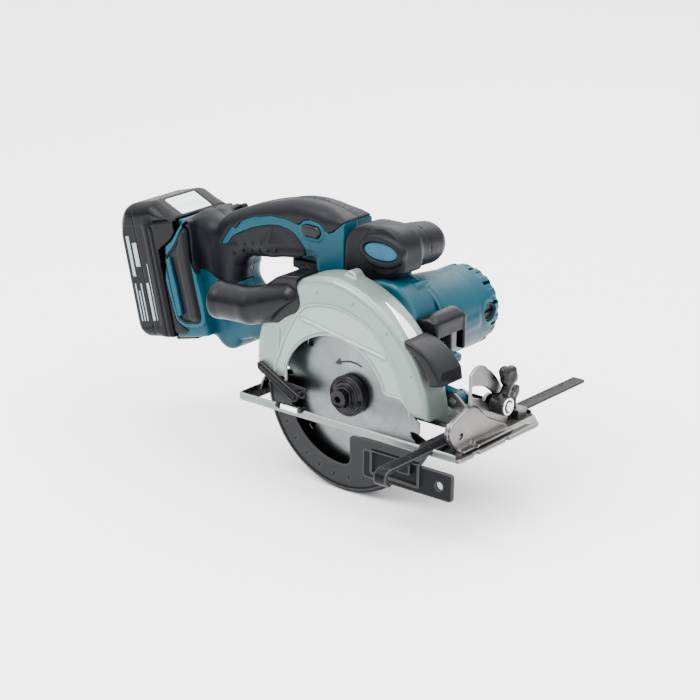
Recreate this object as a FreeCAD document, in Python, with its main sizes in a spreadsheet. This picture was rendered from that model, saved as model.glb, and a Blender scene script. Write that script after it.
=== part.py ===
import FreeCAD, Part
import math
import os
import re

Vector = FreeCAD.Vector
Placement = FreeCAD.Placement
Rotation = FreeCAD.Rotation

# Cordless circular saw.  Millimetres, +X the cutting direction, +Y the motor side, +Z up.
# The origin lies on the sole of the base plate, straight below the blade's axis, in the blade's plane.

SIZES = {
    # blade and its spindle
    "blade_radius": 68.0,
    "blade_half": 0.8,
    "arbor_height": 17.0,
    # gear train
    "gear_module": 1.25,
    "arbor_teeth": 20,
    "idler_pinion_teeth": 12,
    "idler_teeth": 34,
    "motor_pinion_teeth": 10,
    "train_slope": 73.15,
    # guards
    "guard_near": -16.0,
    "guard_far": 15.0,
    "guard_wall": 2.0,
    "guard_radius": 84.0,
    "lower_radius": 77.0,
    "lower_near": -11.5,
    "lower_far": 11.5,
    "lower_wall": 1.5,
    # housings
    "motor_radius": 33.4,
    "gearbox_radius": 35.0,
    "gearbox_near": 15.3,
    "gearbox_far": 48.0,
    "motor_far": 131.0,
    "shell_near": 20.0,
    "shell_middle": 38.0,
    "shell_far": 56.0,
    "shell_wall": 2.6,
    "dock_near": 4.0,
    "dock_far": 72.0,
    # battery pack
    "pack_tilt": 14.0,
    "pack_foot_x": -227.4,
    "pack_foot_z": 11.4,
    "pack_near": 0.5,
    "pack_far": 75.5,
    "pack_deep": 37.6,
    # base plate, brackets and fence
    "base_rear": -89.5,
    "base_front": 126.0,
    "base_near": -33.0,
    "base_far": 86.0,
    "base_floor": 2.0,
    "base_rim": 6.5,
    "bevel_height": 5.5,
    "depth_x": 84.5,
    "depth_z": 27.0,
    "clamp_y": 30.3,
    "clamp_z": 28.4,
    "fence_bar_low": 2.3,
    "fence_bar_high": 5.3,
    "fence_rear": 90.0,
    "fence_front": 101.5,
}

doc = FreeCAD.newDocument("CircularSaw")
sheet = doc.addObject("Spreadsheet::Sheet", "Sizes")
for row, (alias, value) in enumerate(SIZES.items(), start=1):
    sheet.set(f"A{row}", alias)
    sheet.set(f"B{row}", str(value))
    sheet.setAlias(f"B{row}", alias)
doc.recompute()


class Size:
    """The sheet's values by name, for outlines that are worked out in code."""

    def __getattr__(self, alias):
        return float(sheet.get(alias))


S = Size()
NODES = []


# ---------------------------------------------------------------- drawing helpers

def formula(text):
    """A sheet expression: every word becomes a reference to the sheet."""
    return re.sub(r"[a-z]\w*", lambda word: "Sizes." + word.group(0), str(text))


def bind(item, prop, text):
    """Bind a property to the sheet."""
    item.setExpression(prop, formula(text))


def keep(item, label):
    """Name an object and list it as a piece of the saw."""
    item.Label = label
    NODES.append(item)
    return item


def new_body(label):
    body = doc.addObject("PartDesign::Body", label)
    return keep(body, label)


def origin_plane(body, role):
    return [face for face in body.Origin.OriginFeatures if face.Role == role][0]


def edges_of(outline):
    """Edges of a closed outline: (x, y) points, with ("via", x, y) bending the run it stands in."""
    points = [step for step in outline if step[0] != "via"]
    via = {}
    count = 0
    for step in outline:
        if step[0] == "via":
            via[count - 1] = Vector(step[1], step[2], 0)
        else:
            count += 1
    edges = []
    for index, point in enumerate(points):
        start = Vector(point[0], point[1], 0)
        following = points[(index + 1) % len(points)]
        end = Vector(following[0], following[1], 0)
        if index in via:
            edges.append(Part.Arc(start, via[index], end))
        else:
            edges.append(Part.LineSegment(start, end))
    return edges


def circle(x, y, radius):
    return [Part.Circle(Vector(x, y, 0), Vector(0, 0, 1), radius)]


def rectangle(low_x, low_y, high_x, high_y, corner=0.0):
    """A rectangle, with round corners where a radius is given."""
    if corner == 0.0:
        return edges_of([(low_x, low_y), (high_x, low_y), (high_x, high_y), (low_x, high_y)])
    inset = corner * (1 - math.sqrt(0.5))
    return edges_of([
        (low_x + corner, low_y), (high_x - corner, low_y),
        ("via", high_x - inset, low_y + inset), (high_x, low_y + corner), (high_x, high_y - corner),
        ("via", high_x - inset, high_y - inset), (high_x - corner, high_y), (low_x + corner, high_y),
        ("via", low_x + inset, high_y - inset), (low_x, high_y - corner), (low_x, low_y + corner),
        ("via", low_x + inset, low_y + inset),
    ])


def polar(radius, degrees, centre=(0.0, 0.0)):
    """A point at a radius and an angle from the first axis."""
    angle = math.radians(degrees)
    return centre[0] + radius * math.cos(angle), centre[1] + radius * math.sin(angle)


def sector(inner, outer, start, end, centre=(0.0, 0.0)):
    """A ring sector between two angles."""
    middle = (start + end) / 2
    return edges_of([
        polar(inner, start, centre), polar(outer, start, centre),
        ("via", *polar(outer, middle, centre)), polar(outer, end, centre), polar(inner, end, centre),
        ("via", *polar(inner, middle, centre)),
    ])


def sketch_on(body, role, level, edges):
    """A sketch on an origin plane of its body, moved along the plane's axis to a level."""
    drawing = body.newObject("Sketcher::SketchObject", body.Name + "_sketch")
    drawing.AttachmentSupport = [(origin_plane(body, role), "")]
    drawing.MapMode = "FlatFace"
    sign = "-1 *" if role == "XZ_Plane" else "1 *"
    bind(drawing, "AttachmentOffset.Base.z", f"{sign} ({level})")
    drawing.addGeometry(edges, False)
    doc.recompute()
    return drawing


def slab(body, role, edges, low, high):
    """Pad an outline between two levels along its plane's axis."""
    level = high if role == "XZ_Plane" else low
    pad = body.newObject("PartDesign::Pad", body.Name + "_pad")
    pad.Profile = sketch_on(body, role, level, edges)
    bind(pad, "Length", f"({high}) - ({low})")
    doc.recompute()
    return pad


def cutout(body, role, edges, low, high):
    """Pocket an outline between two levels along its plane's axis."""
    level = low if role == "XZ_Plane" else high
    pocket = body.newObject("PartDesign::Pocket", body.Name + "_pocket")
    pocket.Profile = sketch_on(body, role, level, edges)
    bind(pocket, "Length", f"({high}) - ({low})")
    volume = body.Shape.Volume
    doc.recompute()
    if body.Shape.Volume > volume - 0.01:
        raise ValueError(f"{body.Label}: a pocket cut nothing")
    return pocket


def place(body, x="0", y="0", z="0"):
    """Bind where a body stands to the sheet."""
    bind(body, "Placement.Base.x", x)
    bind(body, "Placement.Base.y", y)
    bind(body, "Placement.Base.z", z)


def turned(label, profile, x="0", z="0", y="0"):
    """A turned piece whose axis is along Y: (radius, y) points revolved, then placed at x, z."""
    body = new_body(label)
    turn = body.newObject("PartDesign::Revolution", label + "_turn")
    drawing = sketch_on(body, "XY_Plane", "0", edges_of(profile))
    turn.Profile = drawing
    turn.ReferenceAxis = (drawing, ["V_Axis"])
    turn.Angle = 360
    place(body, x=x, y=y, z=z)
    doc.recompute()
    return body


def fused(shapes):
    joined = shapes[0].multiFuse(shapes[1:]) if len(shapes) > 1 else shapes[0]
    return joined.removeSplitter()


def feature(label, shape):
    """A piece whose shape neither primitives nor a body can hold."""
    item = doc.addObject("Part::Feature", label)
    item.Shape = shape
    return keep(item, label)


def block(low, high):
    """A plain block between two corners."""
    size = [b - a for a, b in zip(low, high)]
    return Part.makeBox(*size, Vector(*low))


def rod(radius, low, high, x, z):
    """A plain cylinder along Y."""
    return Part.makeCylinder(radius, high - low, Vector(x, low, z), Vector(0, 1, 0))


def ring(inner, outer, low, high, x, z):
    return rod(outer, low, high, x, z).cut(rod(inner, low - 1, high + 1, x, z))


def wall(outline, low, high):
    """An outline in the XZ plane, extruded from one Y level to another."""
    wire = Part.Wire([edge.toShape() for edge in edges_of(outline)])
    face = Part.Face(wire)
    face.rotate(Vector(0, 0, 0), Vector(1, 0, 0), 90)
    face.translate(Vector(0, low, 0))
    return face.extrude(Vector(0, high - low, 0))


def tilted(shape):
    """Carry a shape from the battery's upright frame to its place on the saw."""
    moved = shape.copy()
    moved.Placement = PACK.multiply(shape.Placement)
    return moved


PACK = Placement(Vector(S.pack_foot_x, 0, S.pack_foot_z), Rotation(Vector(0, 1, 0), -S.pack_tilt))

# ---------------------------------------------------------------- gear train

SLOPE = math.radians(S.train_slope)
LOW_CENTRES = S.gear_module * (S.arbor_teeth + S.idler_pinion_teeth) / 2
HIGH_CENTRES = S.gear_module * (S.idler_teeth + S.motor_pinion_teeth) / 2
ARBOR = (0.0, S.arbor_height)
IDLER = (LOW_CENTRES * math.cos(SLOPE), S.arbor_height + LOW_CENTRES * math.sin(SLOPE))
MOTOR = (IDLER[0] + HIGH_CENTRES * math.cos(SLOPE), IDLER[1] + HIGH_CENTRES * math.sin(SLOPE))
LOW_GEARS = (20.0, 29.0)
HIGH_GEARS = (35.5, 41.5)


def toothed(teeth, low, high, centre, phase, bore=0.0):
    """A spur gear along Y.  A tooth points at the phase angle, measured in XZ from +X."""
    pitch = S.gear_module * teeth / 2
    radii = (pitch - 1.2 * S.gear_module, pitch, pitch + 0.85 * S.gear_module)
    half_widths = (1.02, 0.76, 0.40)
    quarter = 90.0 / teeth
    points = []
    for tooth in range(int(teeth)):
        middle = phase + tooth * 360.0 / teeth
        for radius, share in zip(radii, half_widths):
            points.append(polar(radius, middle - quarter * share))
        for radius, share in zip(reversed(radii), reversed(half_widths)):
            points.append(polar(radius, middle + quarter * share))
    wheel = wall(points, low, high)
    wheel.translate(Vector(centre[0], 0, centre[1]))
    if bore:
        wheel = wheel.cut(rod(bore, low - 1, high + 1, *centre))
    return wheel


# On the line of centres, each driving gear shows a tooth and each driven gear a gap.
ARBOR_PHASE = S.train_slope
IDLER_PINION_PHASE = S.train_slope + 180.0 + 180.0 / S.idler_pinion_teeth
IDLER_PHASE = S.train_slope
MOTOR_PHASE = S.train_slope + 180.0 + 180.0 / S.motor_pinion_teeth

feature("arbor_gear", toothed(S.arbor_teeth, *LOW_GEARS, ARBOR, ARBOR_PHASE, 5.05))
feature("idler_gear", toothed(S.idler_teeth, *HIGH_GEARS, IDLER, IDLER_PHASE, 4.55))
feature("idler_shaft", fused([
    rod(3.0, 16.0, 46.0, *IDLER),
    rod(4.5, 29.5, 41.5, *IDLER),
    toothed(S.idler_pinion_teeth, LOW_GEARS[0], 29.5, IDLER, IDLER_PINION_PHASE),
]))
feature("motor_shaft", fused([
    rod(4.0, 42.0, 52.0, *MOTOR),
    rod(5.0, 52.0, 116.0, *MOTOR),
    rod(3.0, 116.0, 125.0, *MOTOR),
    toothed(S.motor_pinion_teeth, 35.0, 42.0, MOTOR, MOTOR_PHASE),
]))

# ---------------------------------------------------------------- blade and spindle

turned("spindle", [
    (3.05, 0.9), (10.0, 0.9), (10.0, 1.6), (7.4, 1.6), (7.4, 7.4), (5.0, 7.4), (5.0, 30.0),
    (4.0, 30.0), (4.0, 34.0), (0.0, 34.0), (0.0, 18.0), (3.05, 18.0),
], z="arbor_height")
turned("inner_flange", [
    (7.45, 1.7), (10.4, 1.7), (10.4, 0.82), (16.6, 0.82), (17.0, 3.2), (13.0, 5.4), (7.45, 5.4),
], z="arbor_height")
turned("outer_flange", [
    (3.2, -0.85), (16.4, -0.85), (16.4, -6.4), (15.0, -8.6), (9.2, -9.4), (8.8, -13.0), (3.2, -13.0),
], z="arbor_height")

bolt = turned("blade_bolt", [
    (0.0, 17.0), (3.0, 17.0), (3.0, -13.05), (7.4, -13.05), (7.4, -18.0), (6.8, -18.8), (0.0, -18.8),
], z="arbor_height")
hexagon = edges_of([polar(2.9, 60.0 * corner) for corner in range(6)])
cutout(bolt, "XZ_Plane", hexagon, "-19.5", "-15.0")


def blade_outline():
    """Twenty-four hooked teeth: a sloping back, a carbide face and a round gullet."""
    teeth = 24
    step = 360.0 / teeth
    outline = []
    for tooth in range(teeth):
        tip = tooth * step
        outline.append(polar(S.blade_radius, tip))
        outline.append(polar(S.blade_radius - 2.0, tip + 0.52 * step))
        outline.append(polar(S.blade_radius - 7.4, tip + 0.66 * step))
        outline.append(("via", *polar(S.blade_radius - 9.0, tip + 0.80 * step)))
        outline.append(polar(S.blade_radius - 6.0, tip + 0.94 * step))
    return outline


blade = new_body("saw_blade")
slab(blade, "XZ_Plane", edges_of(blade_outline()), "-blade_half", "blade_half")
cutout(blade, "XZ_Plane", circle(0, 0, 10.05), "-blade_half - 1", "blade_half + 1")
for degrees in (142.0, 222.0, 322.0, 52.0):
    hole = circle(*polar(53.0, degrees), 2.6)
    cutout(blade, "XZ_Plane", hole, "-blade_half - 1", "blade_half + 1")
place(blade, z="arbor_height")

# ---------------------------------------------------------------- bearings


def bearing(bore, outer, low, high, centre):
    """Two races with a ring of balls between them, joined as one solid by a thin cage."""
    width = (outer - bore) / 4
    middle = (bore + outer) / 2
    races = [
        ring(bore, bore + width, low, high, *centre),
        ring(outer - width, outer, low, high, *centre),
        ring(bore + width * 0.8, outer - width * 0.8, (low + high) / 2 - 0.8, (low + high) / 2 + 0.8,
             *centre),
    ]
    balls = []
    for index in range(8):
        x, z = polar(middle, 45.0 * index, centre)
        balls.append(Part.makeSphere(width * 0.95, Vector(x, (low + high) / 2, z)))
    return fused(races + balls)


feature("gearbox_bearings", Part.makeCompound([
    bearing(5.02, 13.0, 7.6, 15.6, ARBOR),
    bearing(4.02, 9.5, 30.1, 34.0, ARBOR),
    bearing(3.02, 6.8, 16.0, 19.0, IDLER),
    bearing(3.02, 6.8, 42.4, 45.8, IDLER),
]))
feature("motor_bearings", Part.makeCompound([
    bearing(4.02, 10.5, 44.0, 50.0, MOTOR),
    bearing(3.02, 9.0, 117.0, 123.0, MOTOR),
]))

# ---------------------------------------------------------------- motor

MOTOR_AT = {"x": f"{MOTOR[0]:.4f}", "z": f"{MOTOR[1]:.4f}"}
turned("motor_can", [
    (22.2, 66.0), (24.0, 66.0), (24.0, 103.0), (22.2, 103.0),
], **MOTOR_AT)
magnets = [wall([
    polar(17.0, start), ("via", *polar(17.0, start + 65)), polar(17.0, start + 130),
    polar(22.15, start + 130), ("via", *polar(22.15, start + 65)), polar(22.15, start),
], 68.0, 101.0) for start in (25.0, 205.0)]
for magnet in magnets:
    magnet.translate(Vector(MOTOR[0], 0, MOTOR[1]))
feature("field_magnets", Part.makeCompound(magnets))


def armature_core():
    """A laminated core with twelve winding slots."""
    core = ring(5.05, 16.2, 68.0, 101.0, *MOTOR)
    for slot in range(12):
        x, z = polar(14.0, 30.0 * slot, MOTOR)
        core = core.cut(rod(1.9, 67.0, 102.0, x, z))
    return core


feature("armature_core", armature_core())
turned("commutator", [
    (5.05, 104.0), (11.0, 104.0), (11.0, 105.5), (9.2, 105.5), (9.2, 115.0), (5.05, 115.0),
], **MOTOR_AT)


def cooling_fan():
    """A back plate with eleven swept blades."""
    fan = [ring(5.05, 25.0, 62.0, 63.6, *MOTOR), ring(5.05, 9.0, 54.0, 63.6, *MOTOR)]
    for index in range(11):
        vane = block((8.0, 54.5, -0.7), (24.0, 62.5, 0.7))
        vane.rotate(Vector(8.0, 0, 0), Vector(0, 1, 0), 24)
        vane.rotate(Vector(0, 0, 0), Vector(0, 1, 0), index * 360 / 11)
        vane.translate(Vector(MOTOR[0], 0, MOTOR[1]))
        fan.append(vane)
    return fused(fan)


feature("cooling_fan", cooling_fan())

BRUSH_Y = 110.0


def brush_side(side):
    """A carbon brush in its brass holder on one side of the commutator."""
    x = MOTOR[0]
    z = MOTOR[1]
    carbon = block((9.3, BRUSH_Y - 3, z - 2.5), (24.0, BRUSH_Y + 3, z + 2.5))
    holder = block((13.0, BRUSH_Y - 4, z - 3.5), (27.0, BRUSH_Y + 4, z + 3.5))
    piece = fused([holder, carbon])
    if side < 0:
        piece.rotate(Vector(0, BRUSH_Y, z), Vector(0, 0, 1), 180)
    piece.translate(Vector(x, 0, 0))
    return piece


def brush_cap(side):
    """A round screw cap with a coin slot."""
    direction = Vector(side, 0, 0)
    cap = Part.makeCylinder(7.6, 5.2, Vector(MOTOR[0] + side * 28.4, BRUSH_Y, MOTOR[1]), direction)
    slot_x = MOTOR[0] + side * 33.4
    slot = block((slot_x - 1.2, BRUSH_Y - 5.5, MOTOR[1] - 0.9), (slot_x + 1.2, BRUSH_Y + 5.5, MOTOR[1] + 0.9))
    return cap.cut(slot)


feature("carbon_brushes", Part.makeCompound([brush_side(1), brush_side(-1)]))
feature("brush_caps", Part.makeCompound([brush_cap(1), brush_cap(-1)]))


SHOULDER_RISE = 3.5
SHOULDER_END = 104.0


def circle_wire(radius, y, z):
    """A circle round the motor's line, square to the y axis."""
    return Part.Wire([Part.Circle(Vector(MOTOR[0], y, z), Vector(0, 1, 0), radius).toShape()])


def motor_housing():
    """A hollow barrel, thicker above where it meets the gear housing, with a vented closed end."""
    barrel = rod(S.motor_radius, S.gearbox_far, S.motor_far - 6, *MOTOR)
    shoulder = Part.makeLoft([
        circle_wire(S.motor_radius + SHOULDER_RISE, S.gearbox_far, MOTOR[1] + SHOULDER_RISE),
        circle_wire(S.motor_radius, SHOULDER_END, MOTOR[1]),
    ], True)
    barrel = barrel.fuse(shoulder)
    end = Part.makeCone(S.motor_radius, S.motor_radius - 5, 6, Vector(MOTOR[0], S.motor_far - 6, MOTOR[1]),
                        Vector(0, 1, 0))
    cavity = rod(S.motor_radius - S.shell_wall, 51.0, S.motor_far - 4, *MOTOR)
    hub = ring(9.05, 13.0, 115.6, S.motor_far - 3, *MOTOR)
    seat_wall = ring(10.55, 32.0, S.gearbox_far, 51.0, *MOTOR)
    can_ring = ring(24.05, 32.0, 66.0, 69.0, *MOTOR)
    rear_ring = ring(24.05, 32.0, 100.0, 103.0, *MOTOR)
    shell = barrel.fuse(end).cut(cavity)
    shell = shell.cut(rod(10.55, 47.0, 52.0, *MOTOR))
    shell = fused([shell, hub, can_ring, rear_ring, seat_wall])
    for side in (1, -1):
        start = Vector(MOTOR[0] + side * 27.5, BRUSH_Y, MOTOR[1])
        hole = Part.makeCylinder(7.7, 12, start, Vector(side, 0, 0))
        shell = shell.cut(hole)
    for vent in range(12):
        x, z = polar(S.motor_radius, 15 + 30.0 * vent, MOTOR)
        slit = block((-4, 117.0, -1.3), (4, 126.0, 1.3))
        slit.rotate(Vector(0, 0, 0), Vector(0, 1, 0), -(15 + 30.0 * vent))
        slit.translate(Vector(x, 0, z))
        shell = shell.cut(slit)
    return shell


motor_shell = motor_housing()
feature("motor_housing", motor_shell)

# ---------------------------------------------------------------- gear housing

LUG = (18.0, 26.0)
NECK_NEAR = 18.0


def gearbox_solid(grow=0.0):
    """The gear housing's outer form, without its cavities."""
    far = S.gearbox_far
    lobes = [
        rod(16.0 + grow, S.gearbox_near, 36.0 + grow, *ARBOR),
        rod(26.0 + grow, S.gearbox_near, far, *IDLER),
        rod(S.gearbox_radius + grow, S.gearbox_near, far, *MOTOR),
    ]
    cheek = wall([
        (-15.0 - grow, 20.0), (-20.0 - grow, 40.0), (-20.5 - grow, 70.0), (48.0 + grow, 70.0),
        (44.0 + grow, 40.0), (15.0 + grow, 20.0),
    ], S.gearbox_near, 36.0 + grow)
    neck = wall([
        (-20.5 - grow, 66.0), (-20.5 - grow, 101.0 + grow), (-9.0, 102.5 + grow), (10.0, 106.5 + grow),
        (26.0, 107.0 + grow), (38.0 + grow, 98.0), (46.0 + grow, 84.0), (48.0 + grow, 66.0),
    ], NECK_NEAR, far)
    return fused(lobes + [cheek, neck])


def gear_housing():
    solid = gearbox_solid()
    nose = rod(15.5, 7.0, S.gearbox_near + 1, *ARBOR)
    arm = wall([
        (20.0, 26.0), (60.0, 21.0), (S.depth_x, S.depth_z - 6.5),
        ("via", S.depth_x + 6.5, S.depth_z), (S.depth_x, S.depth_z + 6.5), (62.0, 36.0), (40.0, 52.0),
    ], *LUG)
    solid = fused([solid, nose, arm])
    pockets = [
        rod(14.6, 19.5, 29.9, *ARBOR),
        rod(13.05, 7.5, 15.65, *ARBOR),
        rod(9.0, 6.0, 20.0, *ARBOR),
        rod(9.55, 29.0, 34.2, *ARBOR),
        rod(9.8, 19.5, 34.9, *IDLER),
        rod(6.85, 15.95, 20.0, *IDLER),
        rod(23.6, 34.9, 42.2, *IDLER),
        rod(6.85, 42.0, 46.2, *IDLER),
        rod(8.6, 34.5, 44.0, *MOTOR),
        rod(10.55, 43.9, 49.0, *MOTOR),
        rod(3.02, 10.0, 40.0, S.depth_x, S.depth_z),
        Part.makeCylinder(2.55, 14, Vector(14.4, 24.5, S.arbor_height), Vector(1, 0, 0)),
    ]
    boss = Part.makeCylinder(5.5, 8, Vector(14.0, 24.5, S.arbor_height), Vector(1, 0, 0))
    solid = solid.fuse(boss)
    for pocket in pockets:
        solid = solid.cut(pocket)
    return solid.removeSplitter()


feature("gear_housing", gear_housing())

# ---------------------------------------------------------------- guards

WINDOW = [
    (-53.3, 10.0), (-53.8, 31.0), ("via", -43.5, 49.0), (-26.6, 61.0), ("via", -7.0, 65.6), (13.0, 62.0),
    ("via", 30.0, 50.6), (41.6, 31.9), ("via", 43.5, 29.9), (47.0, 29.5), (56.8, 29.5),
    ("via", 62.5, 25.5), (66.5, 18.8), (66.5, 10.0),
]
CROWN = [
    (-84.0, 19.0), ("via", -69.0, 83.0), (-8.0, 112.0), ("via", 55.0, 81.0), (84.0, 19.0),
]


def upper_guard():
    """A deep half drum, open below, with a window over the blade's near face."""
    shell = wall(CROWN, S.guard_near, S.guard_far)
    inner = [
        (-82.0, 10.0), (-82.0, 19.0), ("via", -67.5, 81.6), (-8.0, 110.0), ("via", 53.5, 79.6),
        (82.0, 19.0), (82.0, 10.0),
    ]
    shell = shell.cut(wall(inner, S.guard_near + S.guard_wall, S.guard_far - S.guard_wall))
    shell = shell.cut(wall(WINDOW, S.guard_near - 1, 0.0))
    shell = shell.cut(rod(20.0, 12.0, 16.0, *ARBOR))
    lug = rod(5.0, 2.0, 10.0, -4.0, 110.6)
    rib_line = [(-40.0, 72.4), (43.0, 58.6), (44.0, 60.6), (-39.0, 74.6)]
    rib = wall(rib_line, S.guard_near - 0.9, S.guard_near + 0.5)
    shell = fused([shell, lug.cut(wall(inner, -20, 20)), rib])
    for x, z in SCREWS:
        shell = shell.cut(rod(2.1, 12.0, 16.0, x, z))
    return shell


SCREWS = [(-9.0, 48.0), (36.0, 66.0), (26.0, 92.0), (-10.0, 84.0)]
upper = upper_guard()
feature("upper_guard", upper)
feature("guard_screws", Part.makeCompound([
    fused([rod(4.0, 12.1, 12.95, x, z), rod(2.0, 12.9, 15.1, x, z)]) for x, z in SCREWS
]))


def lower_guard():
    """A channel that covers the blade's lower half, on a hub that turns on the gear housing's nose."""
    centre = ARBOR
    inner = S.lower_radius - S.lower_wall
    rear = -180.0
    front = -22.0
    middle = (rear + front) / 2

    def fan(small, large, low, high, first=rear, last=front):
        return wall([
            polar(small, first, centre), ("via", *polar(small, (first + last) / 2, centre)),
            polar(small, last, centre), polar(large, last, centre),
            ("via", *polar(large, (first + last) / 2, centre)), polar(large, first, centre),
        ], low, high)

    rim = fan(inner, S.lower_radius, S.lower_near, S.lower_far)
    far_plate = fan(16.0, S.lower_radius, S.lower_far - S.lower_wall, S.lower_far)
    hub = ring(15.6, 21.0, S.lower_far - S.lower_wall, S.lower_far, *centre)
    near_band = fan(55.5, S.lower_radius, S.lower_near, S.lower_near + S.lower_wall)
    near_front = wall([
        (6.5, -14.0), ("via", 8.5, -12.4), (11.0, -12.0), (22.0, -11.0), (70.2, -9.5),
        ("via", *polar(inner + 0.5, -55, centre)), (6.5, -59.0),
    ], S.lower_near, S.lower_near + S.lower_wall)
    tab_edge = [(-60.0, 3.0), (-40.0, 6.0), (-37.5, 15.0), (-60.0, 16.5)]
    tab = wall(tab_edge, S.lower_near, S.lower_near + S.lower_wall)
    solid = fused([rim, far_plate, hub, near_band, near_front, tab])
    return solid.cut(rod(15.6, 9.0, 13.0, *centre))


feature("lower_guard", lower_guard())
feature("guard_lever", fused([
    wall([(-78.0, 31.5), (-80.5, 25.0), (-42.0, 4.5), (-37.5, 11.5)], -20.6, -17.2),
    block((-44.5, -17.3, 8.5), (-39.0, S.lower_near, 13.5)),
]))


def guard_spring():
    """A torsion spring of two turns round the nose."""
    pitch = 1.2
    coil = Part.makeHelix(pitch, 2.0 * pitch - 0.01, 17.2)
    profile = Part.Wire([Part.Circle(Vector(17.2, 0, 0), Vector(0, 1, 0), 0.5).toShape()])
    wire = Part.Wire(coil.Edges).makePipeShell([profile], True, True)
    wire.rotate(Vector(0, 0, 0), Vector(1, 0, 0), -90)
    wire.translate(Vector(0, 6.5, S.arbor_height))
    return wire


feature("guard_spring", guard_spring())


def front_cover():
    """A dark horn that carries on the guard's front edge down towards the base."""
    outline = [
        (60.0, 78.0), ("via", 80.0, 70.5), (93.5, 58.0), (95.0, 48.5),
        (84.0, 46.0), ("via", 76.0, 62.0), (60.0, 72.0),
    ]
    horn = wall(outline, -15.5, 14.5)
    horn = horn.cut(wall(CROWN, -30, 30))
    horn = horn.cut(rod(S.guard_radius + 1.0, -30, 30, *ARBOR))
    return horn


feature("guard_front_cover", front_cover())


def dust_nozzle():
    """A bent tube from the guard's rear rim back to an open round end."""
    mouth = Vector(-134.0, -13.5, 68.0)
    elbow = Vector(-100.0, -13.5, 70.0)
    inlet = Vector(-66.0, -6.0, 92.0)
    tube = []
    hollow = []
    for start, end in ((mouth, elbow), (elbow, inlet)):
        run = end - start
        tube.append(Part.makeCylinder(16.0, run.Length, start, run))
        hollow.append(Part.makeCylinder(13.6, run.Length, start, run))
    tube.append(Part.makeSphere(16.0, elbow))
    hollow.append(Part.makeSphere(13.6, elbow))
    extra = Part.makeCylinder(13.6, 3.0, mouth - Vector(2.0, 0, 0), elbow - mouth)
    collar = wall([(-78.0, 64.0), (-40.0, 92.0), (-46.0, 106.0), (-86.0, 78.0)], -15.8, 14.0)
    outer = fused(tube + [collar])
    inner = fused(hollow + [extra])
    nozzle = outer.cut(inner)
    nozzle = nozzle.cut(wall(CROWN, -40, 40))
    solids = sorted(nozzle.Solids, key=lambda part: part.Volume)
    return solids[-1]


feature("dust_nozzle", dust_nozzle())

# ---------------------------------------------------------------- handle housing and battery dock

HANDLE = [
    (-166.0, 40.0), (-161.0, 28.0), ("via", -148.0, 14.5), (-134.0, 24.5), (-124.0, 28.0), (-100.0, 29.0),
    (-24.0, 33.0), (-24.0, 142.0), ("via", -55.0, 151.6), (-96.0, 147.4), ("via", -127.0, 138.0),
    (-152.0, 127.0), (-160.0, 118.0), (-177.0, 121.0),
]
OPENING = [
    (-128.0, 88.0), ("via", -126.0, 95.0), (-120.0, 97.0), (-92.0, 103.0), (-60.0, 107.0), (-56.0, 98.0),
    ("via", -57.0, 80.0), (-64.0, 66.0), (-112.0, 60.0), ("via", -127.0, 66.0),
]
HANDLE_ROOM = [
    (-150.0, 108.0), ("via", -138.0, 124.0), (-112.0, 137.0), ("via", -80.0, 146.0), (-50.0, 145.8),
    (-30.0, 138.0), (-30.0, 104.0), (-50.0, 106.0), (-54.0, 110.5), (-92.0, 107.0), (-121.0, 100.5),
    (-134.0, 100.0),
]
ARM_ROOM = [
    (-160.0, 44.0), (-146.0, 34.0), (-100.0, 33.0), (-28.0, 37.0), (-28.0, 100.0), (-50.0, 100.0),
    (-51.0, 78.0), (-61.0, 62.0), (-112.0, 56.0), (-132.0, 62.0), (-136.0, 90.0), (-150.0, 100.0),
]


def housing_solid():
    """The whole housing before it is split into its two shells."""
    frame_plate = wall(HANDLE, S.shell_near, S.shell_far).cut(wall(OPENING, 0, 80))
    dock = tilted(block((38.6, S.dock_near, -2.0), (76.0, S.dock_far, 95.0)))
    pack_bay = tilted(block((30.0, S.dock_near + 4.0, -10.0), (61.5, S.dock_far - 4.0, 110.0)))
    dock_room = tilted(block((64.0, S.dock_near + 3.0, 2.0), (73.5, S.dock_far - 3.0, 91.0)))
    slot = tilted(block((60.0, 20.0, 8.0), (65.0, 56.0, 60.0)))
    near = S.shell_near + S.shell_wall
    far = S.shell_far - S.shell_wall
    solid = frame_plate.fuse(dock).removeSplitter()
    for room in (pack_bay, dock_room, slot, wall(HANDLE_ROOM, near, far), wall(ARM_ROOM, near, far)):
        solid = solid.cut(room)
    solid = solid.cut(gearbox_solid(0.1))
    solid = solid.cut(rod(S.motor_radius + 0.1, 40, 80, *MOTOR))
    solid = solid.cut(wall(TRIGGER_SLOT, 30.5, 45.5))
    solid = solid.cut(rod(6.3, 0, 80, *LOCK_AT))
    return solid


TRIGGER_SLOT = [(-90.4, 90.0), (-59.0, 90.0), (-59.0, 118.0), (-90.4, 118.0)]
LOCK_AT = (-59.5, 131.0)
GRIP_REGION = [
    (-150.0, 88.0), (-92.0, 95.0), (-62.0, 104.0), (-66.0, 112.0), ("via", -90.0, 121.5), (-118.0, 119.5),
    ("via", -132.0, 112.0), (-138.0, 100.0),
]
TOP_REGION = [
    (-196.0, 128.0), (-150.0, 112.0), ("via", -126.0, 130.0), (-92.0, 137.0), ("via", -66.0, 141.0),
    (-50.0, 135.0), (-38.0, 139.0), (-30.0, 160.0), (-150.0, 160.0),
]
GRIP_DEPTH = 1.8


def grip_blocks():
    """Where the soft grip replaces the outer layer of the shells."""
    sides = [
        wall(GRIP_REGION, S.shell_near - 1, S.shell_near + GRIP_DEPTH),
        wall(GRIP_REGION, S.shell_far - GRIP_DEPTH, S.shell_far + 1),
        wall(TOP_REGION, S.shell_near - 1, S.shell_near + GRIP_DEPTH),
        wall(TOP_REGION, S.shell_far - GRIP_DEPTH, S.shell_far + 1),
    ]
    return fused(sides)


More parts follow.
